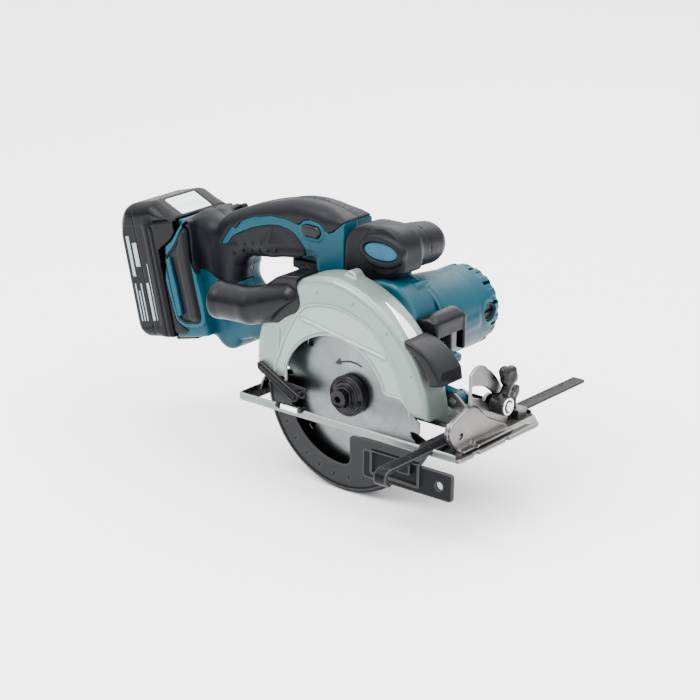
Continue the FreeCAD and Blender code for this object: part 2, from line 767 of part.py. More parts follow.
housing = housing_solid()
grips = housing.common(grip_blocks())
near_half = block((-260, -40, -10), (20, S.shell_middle, 170))
far_half = block((-260, S.shell_middle, -10), (20, 140, 170))
shells = housing.cut(grip_blocks())


def largest(shape, smallest_kept=30.0):
    """The pieces of a shape that are big enough to be real, as one shape."""
    solids = [part for part in shape.Solids if part.Volume > smallest_kept]
    return solids[0] if len(solids) == 1 else Part.makeCompound(solids)


feature("handle_shell_right", largest(shells.common(near_half), 400.0))
feature("handle_shell_left", largest(shells.common(far_half), 400.0))
feature("grip_right", largest(grips.common(near_half)))
feature("grip_left", largest(grips.common(far_half)))


def bumper(side_low, side_high):
    """A ribbed rubber panel on the side of the battery dock."""
    panel = block((46.0, side_low, 6.0), (72.0, side_high, 88.0))
    return tilted(panel)


feature("bumper_right", bumper(1.6, S.dock_near))
feature("bumper_left", bumper(S.dock_far, 74.4))


GRIP_RADIUS = 18.4
GRIP_START = Vector(12.0, 18.0, 130.6)
GRIP_END = Vector(9.5, 84.0, 122.4)
GRIP_POST = [
    (-23.7, 84.0), (-23.7, 134.0), (-16.0, 143.0), (-5.0, 147.6), (14.0, 146.0), (27.0, 138.0), (30.0, 116.0),
    (26.0, 84.0),
]
BADGE_AT = (12.0, 130.0)


def ellipse_block(half_width, half_height, y_low, y_high):
    """An elliptical disc on the near end of the front grip."""
    curve = Part.Ellipse(Vector(0, 0, 0), half_width, half_height).toShape()
    disc = Part.Face(Part.Wire([curve])).extrude(Vector(0, 0, y_high - y_low))
    disc.rotate(Vector(0, 0, 0), Vector(1, 0, 0), -90)
    disc.translate(Vector(BADGE_AT[0], y_low, BADGE_AT[1]))
    return disc


def front_grip():
    """A fat cross bar on a short post, for the second hand."""
    post = wall(GRIP_POST, 20.0, 47.0)
    run = GRIP_END - GRIP_START
    bar = Part.makeCylinder(GRIP_RADIUS, run.Length, GRIP_START, run)
    nose = Part.makeSphere(GRIP_RADIUS, GRIP_END)
    rim = ellipse_block(21.0, 13.2, 15.6, 20.0)
    grip = fused([post, bar, nose, rim]).cut(ellipse_block(16.2, 7.4, 14.0, 17.8))
    grip = grip.cut(gearbox_solid(0.1)).cut(rod(S.motor_radius + 0.1, 40, 100, *MOTOR))
    grip = grip.cut(wall(CROWN, -20, 19.5))
    return largest(grip, 1000.0)


grip_bar = front_grip()
feature("front_grip", grip_bar)
feature("front_grip_badge", ellipse_block(15.7, 6.9, 16.6, 17.78))

# ---------------------------------------------------------------- controls and electrics

feature("trigger", fused([
    wall([(-88.5, 93.0), ("via", -76.0, 90.0), (-64.0, 84.5), (-60.0, 86.0), (-60.5, 101.0), (-88.5, 101.0)],
         31.0, 45.0),
    wall([(-84.0, 100.0), (-62.0, 100.0), (-62.0, 107.5), (-84.0, 107.5)], 33.0, 43.0),
]))
feature("switch_module", fused([
    block((-86.0, 27.0, 114.0), (-66.0, 49.0, 136.0)),
    block((-92.0, 30.0, 120.0), (-86.0, 46.0, 132.0)),
]))
feature("lock_off_button", fused([
    rod(6.0, 18.0, 24.0, *LOCK_AT),
    rod(2.6, 23.5, 52.5, *LOCK_AT),
    rod(6.0, 52.0, 58.0, *LOCK_AT),
]))
feature("controller_board", fused([
    block((-118.0, 25.0, 36.0), (-70.0, 51.0, 38.0)),
    block((-112.0, 28.0, 38.0), (-98.0, 40.0, 50.0)),
    block((-92.0, 30.0, 38.0), (-76.0, 46.0, 44.0)),
]))
feature("terminal_block", tilted(fused([
    block((60.2, 22.0, 12.0), (72.0, 54.0, 56.0)),
    block((55.0, 27.0, 20.0), (60.4, 28.2, 50.0)),
    block((55.0, 47.8, 20.0), (60.4, 49.0, 50.0)),
])))

lock_button = turned("shaft_lock_button", [
    (0.0, -5.0), (4.6, -5.0), (5.0, -4.4), (5.0, -1.2), (2.5, -1.2), (2.5, 10.5), (0.0, 10.5),
], x="29", y="24.5", z="arbor_height")
lock_button.Placement.Rotation = Rotation(Vector(0, 0, 1), 90)

feature("lamp_housing", fused([
    block((49.4, 18.0, 70.0), (66.0, 20.0, 88.0)),
    block((49.4, 18.0, 86.0), (66.0, 56.0, 88.0)),
    block((49.4, 18.0, 70.0), (51.4, 56.0, 88.0)),
    block((64.0, 18.0, 74.0), (66.0, 56.0, 88.0)),
    block((51.0, 54.0, 60.0), (66.0, 56.0, 88.0)),
    block((44.0, 20.0, 72.0), (50.0, 34.0, 86.0)),
]).cut(gearbox_solid(0.1)).cut(rod(
    S.motor_radius + SHOULDER_RISE + 0.2, S.gearbox_far - 1, 60.0, MOTOR[0], MOTOR[1] + SHOULDER_RISE)))
feature("lamp_lens", fused([
    block((57.0, 40.0, 61.0), (63.0, 47.0, 76.0)),
    block((52.5, 26.0, 75.5), (63.0, 50.0, 85.9)),
]))

SHELL_SCREWS = [(-36.0, 130.0), (-118.0, 128.5), (-140.0, 60.0), (-60.0, 45.0), (-40.0, 90.0)]
feature("housing_screws", Part.makeCompound([
    rod(3.2, S.shell_far + 0.05, S.shell_far + 2.2, x, z) for x, z in SHELL_SCREWS
]))

# ---------------------------------------------------------------- battery pack

CASE_SPLIT = 19.0
SHOULDER = 95.4
SLANT_TOP = (38.5, 112.0)
SLANT_ANGLE = math.radians(-36.87)
PACK_SIDE = [
    (0.0, 10.0), ("via", 3.0, 3.0), (10.0, 0.0), (36.0, -1.0), (S.pack_deep, -1.0), (S.pack_deep, SHOULDER),
    (59.5, SHOULDER), (59.8, 96.0), SLANT_TOP, (13.0, 111.5), ("via", 3.6, 107.6), (0.0, 98.0),
]


def on_slant(along, deep):
    """A point on the sloping shoulder of the pack: so far down the slope, so deep into the case."""
    cosine = math.cos(SLANT_ANGLE)
    sine = math.sin(SLANT_ANGLE)
    return SLANT_TOP[0] + along * cosine + deep * sine, SLANT_TOP[1] + along * sine - deep * cosine


def button_block(first, last, top, bottom, near, far):
    """A block sunk into the sloping shoulder."""
    outline = [on_slant(first, top), on_slant(last, top), on_slant(last, bottom), on_slant(first, bottom)]
    return wall(outline, near, far)


def pack_solid():
    body = wall(PACK_SIDE, S.pack_near, S.pack_far)
    tongue = block((S.pack_deep - 1, 9.0, -5.0), (59.0, 67.0, 96.5))
    return fused([body, tongue])


def pack_room():
    cell_room = block((2.0, S.pack_near + 2, 3.0), (S.pack_deep - 2, S.pack_far - 2, 104.5))
    terminal_room = block((S.pack_deep - 3, 12.0, 3.0), (48.5, 64.0, 92.0))
    return cell_room.fuse(terminal_room)


hollow_pack = pack_solid().cut(pack_room())
terminal_slots = fused([
    block((50.0, 25.5, -6.0), (60.0, 29.7, 52.0)), block((50.0, 46.3, -6.0), (60.0, 50.5, 52.0)),
    block((58.4, 21.0, -6.0), (60.0, 55.0, 58.0)),
])
hollow_pack = hollow_pack.cut(terminal_slots)
rear_part = block((-5, -5, -10), (CASE_SPLIT, 90, 120))
front_part = block((CASE_SPLIT, -5, -10), (80, 90, 120))
button_cut = button_block(2.1, 24.4, -3.0, 6.5, 19.6, 56.4)
feature("battery_case_rear", tilted(hollow_pack.common(rear_part)))
feature("battery_case_front", tilted(hollow_pack.common(front_part).cut(button_cut)))
CELL_RADIUS = 8.9
CELL_PITCH = 18.0
cells = []
for row in range(2):
    for column in range(5):
        deep = 11.1 + 15.5 * row
        cells.append(rod(CELL_RADIUS, 5.5, 70.5, deep, 12.3 + CELL_PITCH * (column + row / 2)))
feature("battery_cells", tilted(Part.makeCompound(cells)))
button_shape = button_block(2.5, 24.0, -0.6, 4.0, 20.0, 56.0)
feature("battery_button", tilted(button_shape))

# ---------------------------------------------------------------- base plate

base = new_body("base_plate")
slab(base, "XY_Plane", edges_of([
    (S.base_rear + 5.0, S.base_near), (88.0, S.base_near), (S.base_front - 2.0, S.base_near + 2.0),
    (S.base_front, S.base_near + 4.0), (S.base_front, S.base_far - 14.0), (S.base_front - 14.0, S.base_far),
    (S.base_rear + 8.0, S.base_far), (S.base_rear, S.base_far - 8.0), (S.base_rear, S.base_near + 5.0),
    ("via", S.base_rear + 1.5, S.base_near + 1.5),
]), "0", "base_rim")
cutout(base, "XY_Plane", rectangle(-88.0, S.base_near + 1.8, 124.0, S.base_far - 2.0), "base_floor",
       "base_rim + 1")
cutout(base, "XY_Plane", rectangle(112.0, -40.0, 130.0, 90.0), "base_floor", "base_rim + 1")
cutout(base, "XY_Plane", rectangle(-79.5, -27.0, 80.0, 22.8, 4.0), "-1", "base_rim + 1")
cutout(base, "XY_Plane", rectangle(-20.0, 10.0, 36.0, 40.0, 4.0), "-1", "base_rim + 1")
cutout(base, "YZ_Plane", rectangle(S.base_near - 1, 2.0, S.base_near + 3, 8.0), "fence_rear - 0.5",
       "fence_front + 0.5")
cutout(base, "YZ_Plane", rectangle(S.base_far - 3, 2.0, S.base_far + 1, 8.0), "fence_rear - 0.5",
       "fence_front + 0.5")

FENCE_SCREW = (95.75, 76.0)
screw_bridge = fused([
    block((84.0, 70.0, 2.0), (89.3, 82.0, 9.0)),
    block((102.2, 70.0, 2.0), (107.5, 82.0, 9.0)),
    block((84.0, 70.0, 6.4), (107.5, 82.0, 9.0)),
]).cut(Part.makeCylinder(2.6, 10, Vector(FENCE_SCREW[0], FENCE_SCREW[1], 3.0), Vector(0, 0, 1)))
feature("fence_clamp", screw_bridge)

bevel_centre = (0.0, S.bevel_height)
quadrant = new_body("bevel_quadrant")
slab(quadrant, "YZ_Plane", edges_of([
    (-16.0, 2.05), (46.0, 2.05), (50.0, 10.0), (43.6, 31.0), ("via", 35.0, 46.0), (22.0, 57.6),
    ("via", 10.0, 62.4), (1.0, 57.0), (1.0, 33.5), (-6.0, 33.5), (-25.0, 26.5), ("via", -28.0, 19.0),
    (-24.0, 11.0),
]), "109", "112")
cutout(quadrant, "YZ_Plane", sector(33.0, 43.0, 30.0, 86.6, bevel_centre), "108", "113")
cutout(quadrant, "YZ_Plane", circle(-13.0, 14.0, 2.4), "108", "113")
cutout(quadrant, "YZ_Plane", circle(*bevel_centre, 2.55), "108", "113")

rear_post = new_body("rear_bevel_post")
slab(rear_post, "YZ_Plane", edges_of([
    (-9.0, 2.05), (12.0, 2.05), (7.0, 9.0), ("via", 0.0, 12.5), (-6.0, 9.0),
]), "-87.8", "-85.8")
cutout(rear_post, "YZ_Plane", circle(*bevel_centre, 2.55), "-89", "-85")

# ---------------------------------------------------------------- swivel frame between base and saw

front_bracket = new_body("front_bracket")
slab(front_bracket, "YZ_Plane", edges_of([
    (-2.4, 3.1), (0.0, 2.2), (36.0, 2.6), (38.0, 24.0), (35.0, 33.0), ("via", 30.3, 35.0), (25.0, 33.0),
    (8.0, 14.0), (-8.0, 11.4),
]), "105.6", "108.6")
slab(front_bracket, "XZ_Plane", edges_of([
    (S.depth_x, S.depth_z - 6.0), (96.0, 10.0), (106.0, 8.0), (106.0, 22.0),
    (S.depth_x + 4.0, S.depth_z + 5.0),
    ("via", S.depth_x - 6.4, S.depth_z + 0.6),
]), "26.3", "28.8")
slab(front_bracket, "XZ_Plane", edges_of([
    (S.depth_x + 2.0, S.depth_z - 6.0), (96.0, 10.0), (106.0, 8.0), (106.0, 18.0),
    (S.depth_x + 4.0, S.depth_z + 5.0), ("via", S.depth_x - 6.0, S.depth_z),
]), "15.4", "17.7")
cutout(front_bracket, "XZ_Plane", circle(S.depth_x, S.depth_z, 3.02), "14", "30")
cutout(front_bracket, "YZ_Plane", circle(*bevel_centre, 2.55), "100", "110")
cutout(front_bracket, "YZ_Plane", circle(S.clamp_y, S.clamp_z, 2.6), "100", "110")

GUIDE_NEAR = 60.0
GUIDE_FAR = 62.5
GUIDE_RADIUS = 158.0
depth_centre = (S.depth_x, S.depth_z)


def depth_guide():
    """An arched, slotted plate that stands on the swivel frame behind the motor side of the saw."""
    plate = wall([
        polar(GUIDE_RADIUS - 9, 186.5, depth_centre), ("via", *polar(GUIDE_RADIUS - 9, 168.0, depth_centre)),
        polar(GUIDE_RADIUS - 9, 149.5, depth_centre), polar(GUIDE_RADIUS + 9, 149.5, depth_centre),
        ("via", *polar(GUIDE_RADIUS + 9, 168.0, depth_centre)), polar(GUIDE_RADIUS + 9, 186.5, depth_centre),
    ], GUIDE_NEAR, GUIDE_FAR)
    slot = wall([
        polar(GUIDE_RADIUS - 3.2, 184.0, depth_centre),
        ("via", *polar(GUIDE_RADIUS - 3.2, 170.0, depth_centre)),
        polar(GUIDE_RADIUS - 3.2, 152.5, depth_centre), polar(GUIDE_RADIUS + 3.2, 152.5, depth_centre),
        ("via", *polar(GUIDE_RADIUS + 3.2, 170.0, depth_centre)),
        polar(GUIDE_RADIUS + 3.2, 184.0, depth_centre),
    ], GUIDE_NEAR - 1, GUIDE_FAR + 1)
    strip = [(-2.4, 3.1), (0.0, 2.2), (GUIDE_FAR, 2.6), (GUIDE_FAR, 11.0), (-5.0, 11.0), (-6.0, 9.6)]
    face = Part.Face(Part.makePolygon([Vector(-85.4, y, z) for y, z in strip + strip[:1]]))
    cross = face.extrude(Vector(2.4, 0, 0))
    cross = cross.cut(Part.makeCylinder(2.55, 10, Vector(-90, 0, S.bevel_height), Vector(1, 0, 0)))
    foot = block((-85.4, GUIDE_NEAR, 2.6), (-66.0, GUIDE_FAR, 22.0))
    return fused([plate.cut(slot), cross, foot.cut(slot)])


feature("depth_guide", depth_guide())

pins = Part.makeCompound([
    rod(3.0, 15.2, 29.6, S.depth_x, S.depth_z).fuse(rod(5.0, 28.85, 31.0, S.depth_x, S.depth_z)),
    Part.makeCylinder(2.5, 10.0, Vector(103.6, 0, S.bevel_height), Vector(1, 0, 0)).fuse(
        Part.makeCylinder(3.3, 1.8, Vector(103.75, 0, S.bevel_height), Vector(1, 0, 0))),
    Part.makeCylinder(2.5, 6.4, Vector(-87.9, 0, S.bevel_height), Vector(1, 0, 0)).fuse(
        Part.makeCylinder(3.3, 1.4, Vector(-82.95, 0, S.bevel_height), Vector(1, 0, 0))),
])
feature("pivot_pins", pins)

# ---------------------------------------------------------------- clamps and levers


def along_x(radius, low, high, y, z):
    return Part.makeCylinder(radius, high - low, Vector(low, y, z), Vector(1, 0, 0))


feature("bevel_lever", fused([
    along_x(2.5, 103.0, 122.0, S.clamp_y, S.clamp_z),
    along_x(7.5, 112.4, 126.0, S.clamp_y, S.clamp_z),
    block((116.0, 30.0, 30.0), (119.5, 38.0, 50.0)),
    block((115.0, 12.0, 48.0), (123.0, 47.0, 57.0)),
]))

SLOT_AT = polar(GUIDE_RADIUS, 180.0 + 1.0, depth_centre)
feature("depth_lever", fused([
    rod(3.0, 56.3, 68.0, *SLOT_AT),
    rod(7.0, GUIDE_FAR + 0.3, 70.0, *SLOT_AT),
    wall([
        (SLOT_AT[0] - 4, SLOT_AT[1] + 4), (SLOT_AT[0] - 42, SLOT_AT[1] + 22),
        (SLOT_AT[0] - 46, SLOT_AT[1] + 15),
        (SLOT_AT[0] - 2, SLOT_AT[1] - 5),
    ], 64.0, 70.0),
]))

feature("fence_screw", fused([
    Part.makeCylinder(2.5, 15.0, Vector(FENCE_SCREW[0], FENCE_SCREW[1], 5.5), Vector(0, 0, 1)),
    Part.makeCylinder(4.5, 6.0, Vector(FENCE_SCREW[0], FENCE_SCREW[1], 9.3), Vector(0, 0, 1)),
    block((FENCE_SCREW[0] - 2.0, FENCE_SCREW[1] - 9.0, 13.0),
          (FENCE_SCREW[0] + 2.0, FENCE_SCREW[1] + 9.0, 22.0)),
]))

bar = new_body("fence_bar")
slab(bar, "XY_Plane", rectangle(S.fence_rear, -84.0, S.fence_front, 172.0), "fence_bar_low", "fence_bar_high")
slab(bar, "YZ_Plane", edges_of([
    (-83.0, 5.3), ("via", -87.5, 1.0), (-86.0, -8.0), (-83.0, -8.0), ("via", -84.4, 0.0), (-82.0, 2.3),
]), "fence_rear", "fence_front")
feature("fence_plate", fused([
    block((55.0, -56.0, -19.5), (138.0, -53.0, S.fence_bar_low)),
    block((66.0, -58.0, -14.0), (70.0, -56.0, 0.0)),
]).cut(rod(3.2, -60, -50, 126.0, -9.0)))

# ---------------------------------------------------------------- checks and files

doc.recompute()
os.makedirs("parts", exist_ok=True)
for item in doc.Objects:
    if "Invalid" in item.State or "Error" in item.State:
        raise ValueError(f"{item.Label} did not compute")
bad = [item.Label for item in NODES if item.Shape.isNull() or not item.Shape.isValid()]
if bad:
    raise ValueError(f"bad shapes: {bad}")
for item in NODES:
    item.Shape.exportStep(f"parts/{item.Label}.step")
print(len(NODES), "pieces")
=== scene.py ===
import math

import bpy
import numpy as np
from mathutils import Matrix, Vector


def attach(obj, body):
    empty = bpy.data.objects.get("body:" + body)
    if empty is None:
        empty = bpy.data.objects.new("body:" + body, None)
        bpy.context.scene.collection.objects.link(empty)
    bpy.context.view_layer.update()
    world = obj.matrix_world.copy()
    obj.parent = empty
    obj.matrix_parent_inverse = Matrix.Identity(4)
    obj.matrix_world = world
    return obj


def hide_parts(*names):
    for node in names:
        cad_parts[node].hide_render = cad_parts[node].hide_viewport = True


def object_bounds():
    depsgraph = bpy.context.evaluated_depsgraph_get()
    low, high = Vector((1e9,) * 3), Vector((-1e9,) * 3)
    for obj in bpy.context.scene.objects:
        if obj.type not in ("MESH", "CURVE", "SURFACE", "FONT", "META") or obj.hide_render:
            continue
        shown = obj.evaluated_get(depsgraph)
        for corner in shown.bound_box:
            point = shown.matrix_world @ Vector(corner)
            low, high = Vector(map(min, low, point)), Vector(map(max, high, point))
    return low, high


# Cordless circular saw. Shapes are worked out in millimetres, in the frame of the CAD model, then scaled
# to metres.

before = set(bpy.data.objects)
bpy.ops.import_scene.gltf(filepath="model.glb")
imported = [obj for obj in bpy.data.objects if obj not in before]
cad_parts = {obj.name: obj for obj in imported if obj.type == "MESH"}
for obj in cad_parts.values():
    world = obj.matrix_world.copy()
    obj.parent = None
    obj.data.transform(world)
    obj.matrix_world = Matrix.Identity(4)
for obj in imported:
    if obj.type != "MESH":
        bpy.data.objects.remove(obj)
cad_low, cad_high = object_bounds()

MM = 0.001
COARSE = 1.0

ARBOR = (0.0, 17.0)
MOTOR = (13.77, 62.46)
IDLER = (5.8, 36.1)
CLAMP = (30.3, 28.4)
BEVEL_Z = 5.5
FENCE_SCREW = (95.75, 76)
MIDDLE = 38
WALL = 2.6
PACK_FOOT = (-227.4, 11.4)
PACK_TILT = math.radians(14.0)
CT, ST = math.cos(PACK_TILT), math.sin(PACK_TILT)
PACK_PLACE = Matrix.Translation((PACK_FOOT[0] * MM, 0, PACK_FOOT[1] * MM)) @ Matrix.Rotation(-PACK_TILT, 4,
                                                                                             "Y")


# ---------------------------------------------------------------- outlines and distance fields

def arc3(start, via, end, count=14):
    """Points on the circle through three points, from start to end by way of via."""
    (ax, ay), (bx, by), (cx, cy) = start, via, end
    d = 2 * (ax * (by - cy) + bx * (cy - ay) + cx * (ay - by))
    a2, b2, c2 = ax * ax + ay * ay, bx * bx + by * by, cx * cx + cy * cy
    ox = (a2 * (by - cy) + b2 * (cy - ay) + c2 * (ay - by)) / d
    oy = (a2 * (cx - bx) + b2 * (ax - cx) + c2 * (bx - ax)) / d
    first, middle, last = (math.atan2(y - oy, x - ox) for x, y in (start, via, end))
    turn = (last - first) % (2 * math.pi)
    if (middle - first) % (2 * math.pi) > turn:
        turn -= 2 * math.pi
    radius = math.hypot(ax - ox, ay - oy)
    return [(ox + radius * math.cos(first + turn * i / count),
             oy + radius * math.sin(first + turn * i / count))
            for i in range(count + 1)]


def spline(points, steps=5):
    """A closed smooth outline through the points."""
    p = np.array(points, float)
    before, after, later = np.roll(p, 1, 0), np.roll(p, -1, 0), np.roll(p, -2, 0)
    out = []
    for a, b, c, d in zip(before, p, after, later):
        for i in range(steps):
            t = i / steps
            out.append(0.5 * (2 * b + (c - a) * t + (2 * a - 5 * b + 4 * c - d) * t * t
                              + (3 * b - a - 3 * c + d) * t ** 3))
    return out


def rounded(points, radius, steps=5):
    """A closed outline with its corners rounded."""
    p = [np.array(q[:2], float) for q in points]
    out = []
    for i, b in enumerate(p):
        r = points[i][2] if len(points[i]) > 2 else radius
        a, c = p[i - 1], p[(i + 1) % len(p)]
        la, lc = np.linalg.norm(a - b), np.linalg.norm(c - b)
        s, e = b + (a - b) * min(r / la, 0.48), b + (c - b) * min(r / lc, 0.48)
        for k in range(steps + 1):
            t = k / steps
            out.append((1 - t) ** 2 * s + 2 * t * (1 - t) * b + t * t * e)
    return out


def flat(points):
    """Signed distance to a closed outline in a plane."""
    pts = np.array([q[:2] for q in points], float)
    ends = np.roll(pts, -1, 0)

    def distance(u, v):
        u, v = np.broadcast_arrays(np.asarray(u, np.float32), np.asarray(v, np.float32))
        best = np.full(u.shape, 1e9, np.float32)
        inside = np.zeros(u.shape, bool)
        for (ax, ay), (bx, by) in zip(pts.tolist(), ends.tolist()):
            ex, ey = bx - ax, by - ay
            wx, wy = u - ax, v - ay
            t = np.clip((wx * ex + wy * ey) / (ex * ex + ey * ey + 1e-9), 0, 1)
            best = np.minimum(best, (wx - ex * t) ** 2 + (wy - ey * t) ** 2)
            if ay != by:
                inside ^= ((ay > v) != (by > v)) & (u < ax + wy * (ex / ey))
        return np.where(inside, -1, 1) * np.sqrt(best)
    return distance


def join(*d):
    out = d[0]
    for other in d[1:]:
        out = np.minimum(out, other)
    return out


def meet(a, b, r=0.0):
    """Intersection, with a rounded edge of radius r."""
    if np.ndim(r) == 0 and r == 0.0:
        return np.maximum(a, b)
    return np.minimum(np.maximum(a, b), -r) + np.hypot(np.maximum(a + r, 0), np.maximum(b + r, 0))


def less(a, b, r=0.0):
    """a with b taken away."""
    return meet(a, -b, r)


def melt(a, b, k):
    """Union with a smooth fillet of size k."""
    h = np.clip(0.5 + 0.5 * (b - a) / k, 0, 1)
    return b * (1 - h) + a * h - k * h * (1 - h)


def slab(d, t, low, high, r=0.5):
    """An outline's field carried from one level to another, with rounded edges."""
    return meet(d, np.abs(t - (low + high) / 2) - (high - low) / 2, r)


def box(x, y, z, low, high, r=0.5):
    q = [np.abs(p - (a + b) / 2) - (b - a) / 2 + r for p, a, b in zip((x, y, z), low, high)]
    outside = np.sqrt(sum(np.maximum(c, 0) ** 2 for c in q))
    return outside + np.minimum(np.maximum(np.maximum(q[0], q[1]), q[2]), 0) - r


def disc(u, v, centre, radius):
    return np.hypot(u - centre[0], v - centre[1]) - radius


def peg(x, y, z, centre, radius, near, far, r=0.5):
    """A round bar along Y."""
    return slab(disc(x, z, centre, radius), y, near, far, r)


def capsule(x, y, z, a, b, ra, rb=None):
    """A round bar between two points, with its own radius at each end."""
    a, b = np.array(a, float), np.array(b, float)
    d = b - a
    t = np.clip(((x - a[0]) * d[0] + (y - a[1]) * d[1] + (z - a[2]) * d[2]) / (d @ d), 0, 1)
    away = np.sqrt((x - a[0] - d[0] * t) ** 2 + (y - a[1] - d[1] * t) ** 2 + (z - a[2] - d[2] * t) ** 2)
    return away - (ra + ((ra if rb is None else rb) - ra) * t)


def ramp(v, low, high):
    t = np.clip((v - low) / (high - low), 0, 1)
    return t * t * (3 - 2 * t)


def pack_axes(x, z):
    """The battery's own upright axes."""
    dx, dz = x - PACK_FOOT[0], z - PACK_FOOT[1]
    return dx * CT + dz * ST, dz * CT - dx * ST


# ---------------------------------------------------------------- meshes

def net(field, low, high, cell):
    """Vertices and quads where the field is zero: a surface net, then drawn onto the surface."""
    cell = cell * COARSE
    axes = [np.arange(a - 2 * cell, b + 3 * cell, cell, dtype=np.float32) for a, b in zip(low, high)]
    shape = tuple(len(a) for a in axes)
    f = np.array(np.broadcast_to(field(axes[0][:, None, None], axes[1][None, :, None],
                                       axes[2][None, None, :]),
                                 shape), np.float32)
    inside = f < 0
    corners = [(a, b, c) for a in (0, 1) for b in (0, 1) for c in (0, 1)]
    cut = [slice(0, -1), slice(1, None)]
    total = sum(inside[cut[a], cut[b], cut[c]].astype(np.uint8) for a, b, c in corners)
    i, j, k = np.nonzero((total > 0) & (total < 8))
    index = np.full(total.shape, -1, np.int64)
    index[i, j, k] = np.arange(len(i))
    place, count = np.zeros((len(i), 3)), np.zeros(len(i))
    for a in corners:
        for axis in range(3):
            if a[axis]:
                continue
            b = tuple(1 if n == axis else a[n] for n in range(3))
            fa, fb = f[i + a[0], j + a[1], k + a[2]], f[i + b[0], j + b[1], k + b[2]]
            crossed = (fa < 0) != (fb < 0)
            t = np.where(crossed, fa / np.where(crossed, fa - fb, 1), 0)
            place += crossed[:, None] * (np.array(a) + t[:, None] * (np.array(b) - np.array(a)))
            count += crossed
    verts = (np.stack([i, j, k], 1) + place / count[:, None]) * cell + np.array([a[0] for a in axes])
    quads = []
    for axis in range(3):
        u, v = (axis + 1) % 3, (axis + 2) % 3
        one, two = [slice(None)] * 3, [slice(None)] * 3
        one[axis], two[axis] = slice(0, -1), slice(1, None)
        s0, s1 = inside[tuple(one)], inside[tuple(two)]
        at = np.array(np.nonzero(s0 != s1))
        at = at[:, (at[u] > 0) & (at[v] > 0) & (at[u] < index.shape[u]) & (at[v] < index.shape[v])]
        ring = []
        for du, dv in ((1, 1), (0, 1), (0, 0), (1, 0)):
            c = at.copy()
            c[u] -= du
            c[v] -= dv
            ring.append(index[c[0], c[1], c[2]])
        ring = np.stack(ring, 1)
        out = s0[at[0], at[1], at[2]]
        quads.append(np.where(out[:, None], ring, ring[:, ::-1]))
    h = 0.2 * cell
    for _ in range(2):
        x, y, z = (verts[:, n].copy() for n in range(3))
        d = field(x, y, z)
        g = np.stack([field(x + h, y, z) - d, field(x, y + h, z) - d, field(x, y, z + h) - d], 1) / h
        step = (d / np.maximum((g ** 2).sum(1), 0.3))[:, None] * g
        size = np.linalg.norm(step, axis=1, keepdims=True)
        verts -= step * np.minimum(1, 0.45 * cell / np.maximum(size, 1e-9))
    x, y, z = (verts[:, n].copy() for n in range(3))
    h = 1.1
    bend = -6 * field(x, y, z)
    for dx, dy, dz in ((h, 0, 0), (-h, 0, 0), (0, h, 0), (0, -h, 0), (0, 0, h), (0, 0, -h)):
        bend = bend + field(x + dx, y + dy, z + dz)
    return verts, np.concatenate(quads), np.clip(bend / (h * h), -1, 1)


def grown(name, field, low, high, cell=0.9, thin=1.0, place=None):
    """A mesh object from a field, in metres, with its sharp edges marked for wear and its hollows for painted
    shade.
    """
    verts, quads, bend = net(field, low, high, cell)
    mesh = bpy.data.meshes.new(name)
    mesh.vertices.add(len(verts))
    mesh.vertices.foreach_set("co", (verts * MM).astype(np.float32).ravel())
    mesh.loops.add(4 * len(quads))
    mesh.loops.foreach_set("vertex_index", quads.astype(np.int32).ravel())
    mesh.polygons.add(len(quads))
    mesh.polygons.foreach_set("loop_start", np.arange(0, 4 * len(quads), 4, dtype=np.int32))
    mesh.update(calc_edges=True)
    mesh.polygons.foreach_set("use_smooth", np.ones(len(quads), bool))
    mark = mesh.attributes.new("edge", "FLOAT", "POINT")
    mark.data.foreach_set("value", bend.astype(np.float32))
    mesh.validate()
    obj = bpy.data.objects.new(name, mesh)
    bpy.context.scene.collection.objects.link(obj)
    if thin < 1.0:
        mod = obj.modifiers.new("thin", "DECIMATE")
        mod.ratio = thin
        settle(obj)
    if place is not None:
        obj.data.transform(place)
    return obj


def settle(obj):
    """Apply the modifiers of an object."""
    graph = bpy.context.evaluated_depsgraph_get()
    graph.update()
    done = bpy.data.meshes.new_from_object(obj.evaluated_get(graph))
    obj.modifiers.clear()
    obj.data = done


def fit_on(obj, body, material, nodes=()):
    """Give a piece its finish and body, and hide the CAD nodes that it stands for."""
    obj.data.materials.clear()
    obj.data.materials.append(material)
    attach(obj, body)
    if nodes:
        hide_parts(*nodes)
    return obj


def piece(name, low, high, cell, thin, body, slot, finish, *nodes, place=None):
    """Grow the surface of the form below and fit it on its body."""
    def made(form):
        fit_on(grown(name, form, low, high, cell, thin, place), body, M[finish], nodes)
        return form
    return made


# ---------------------------------------------------------------- finishes

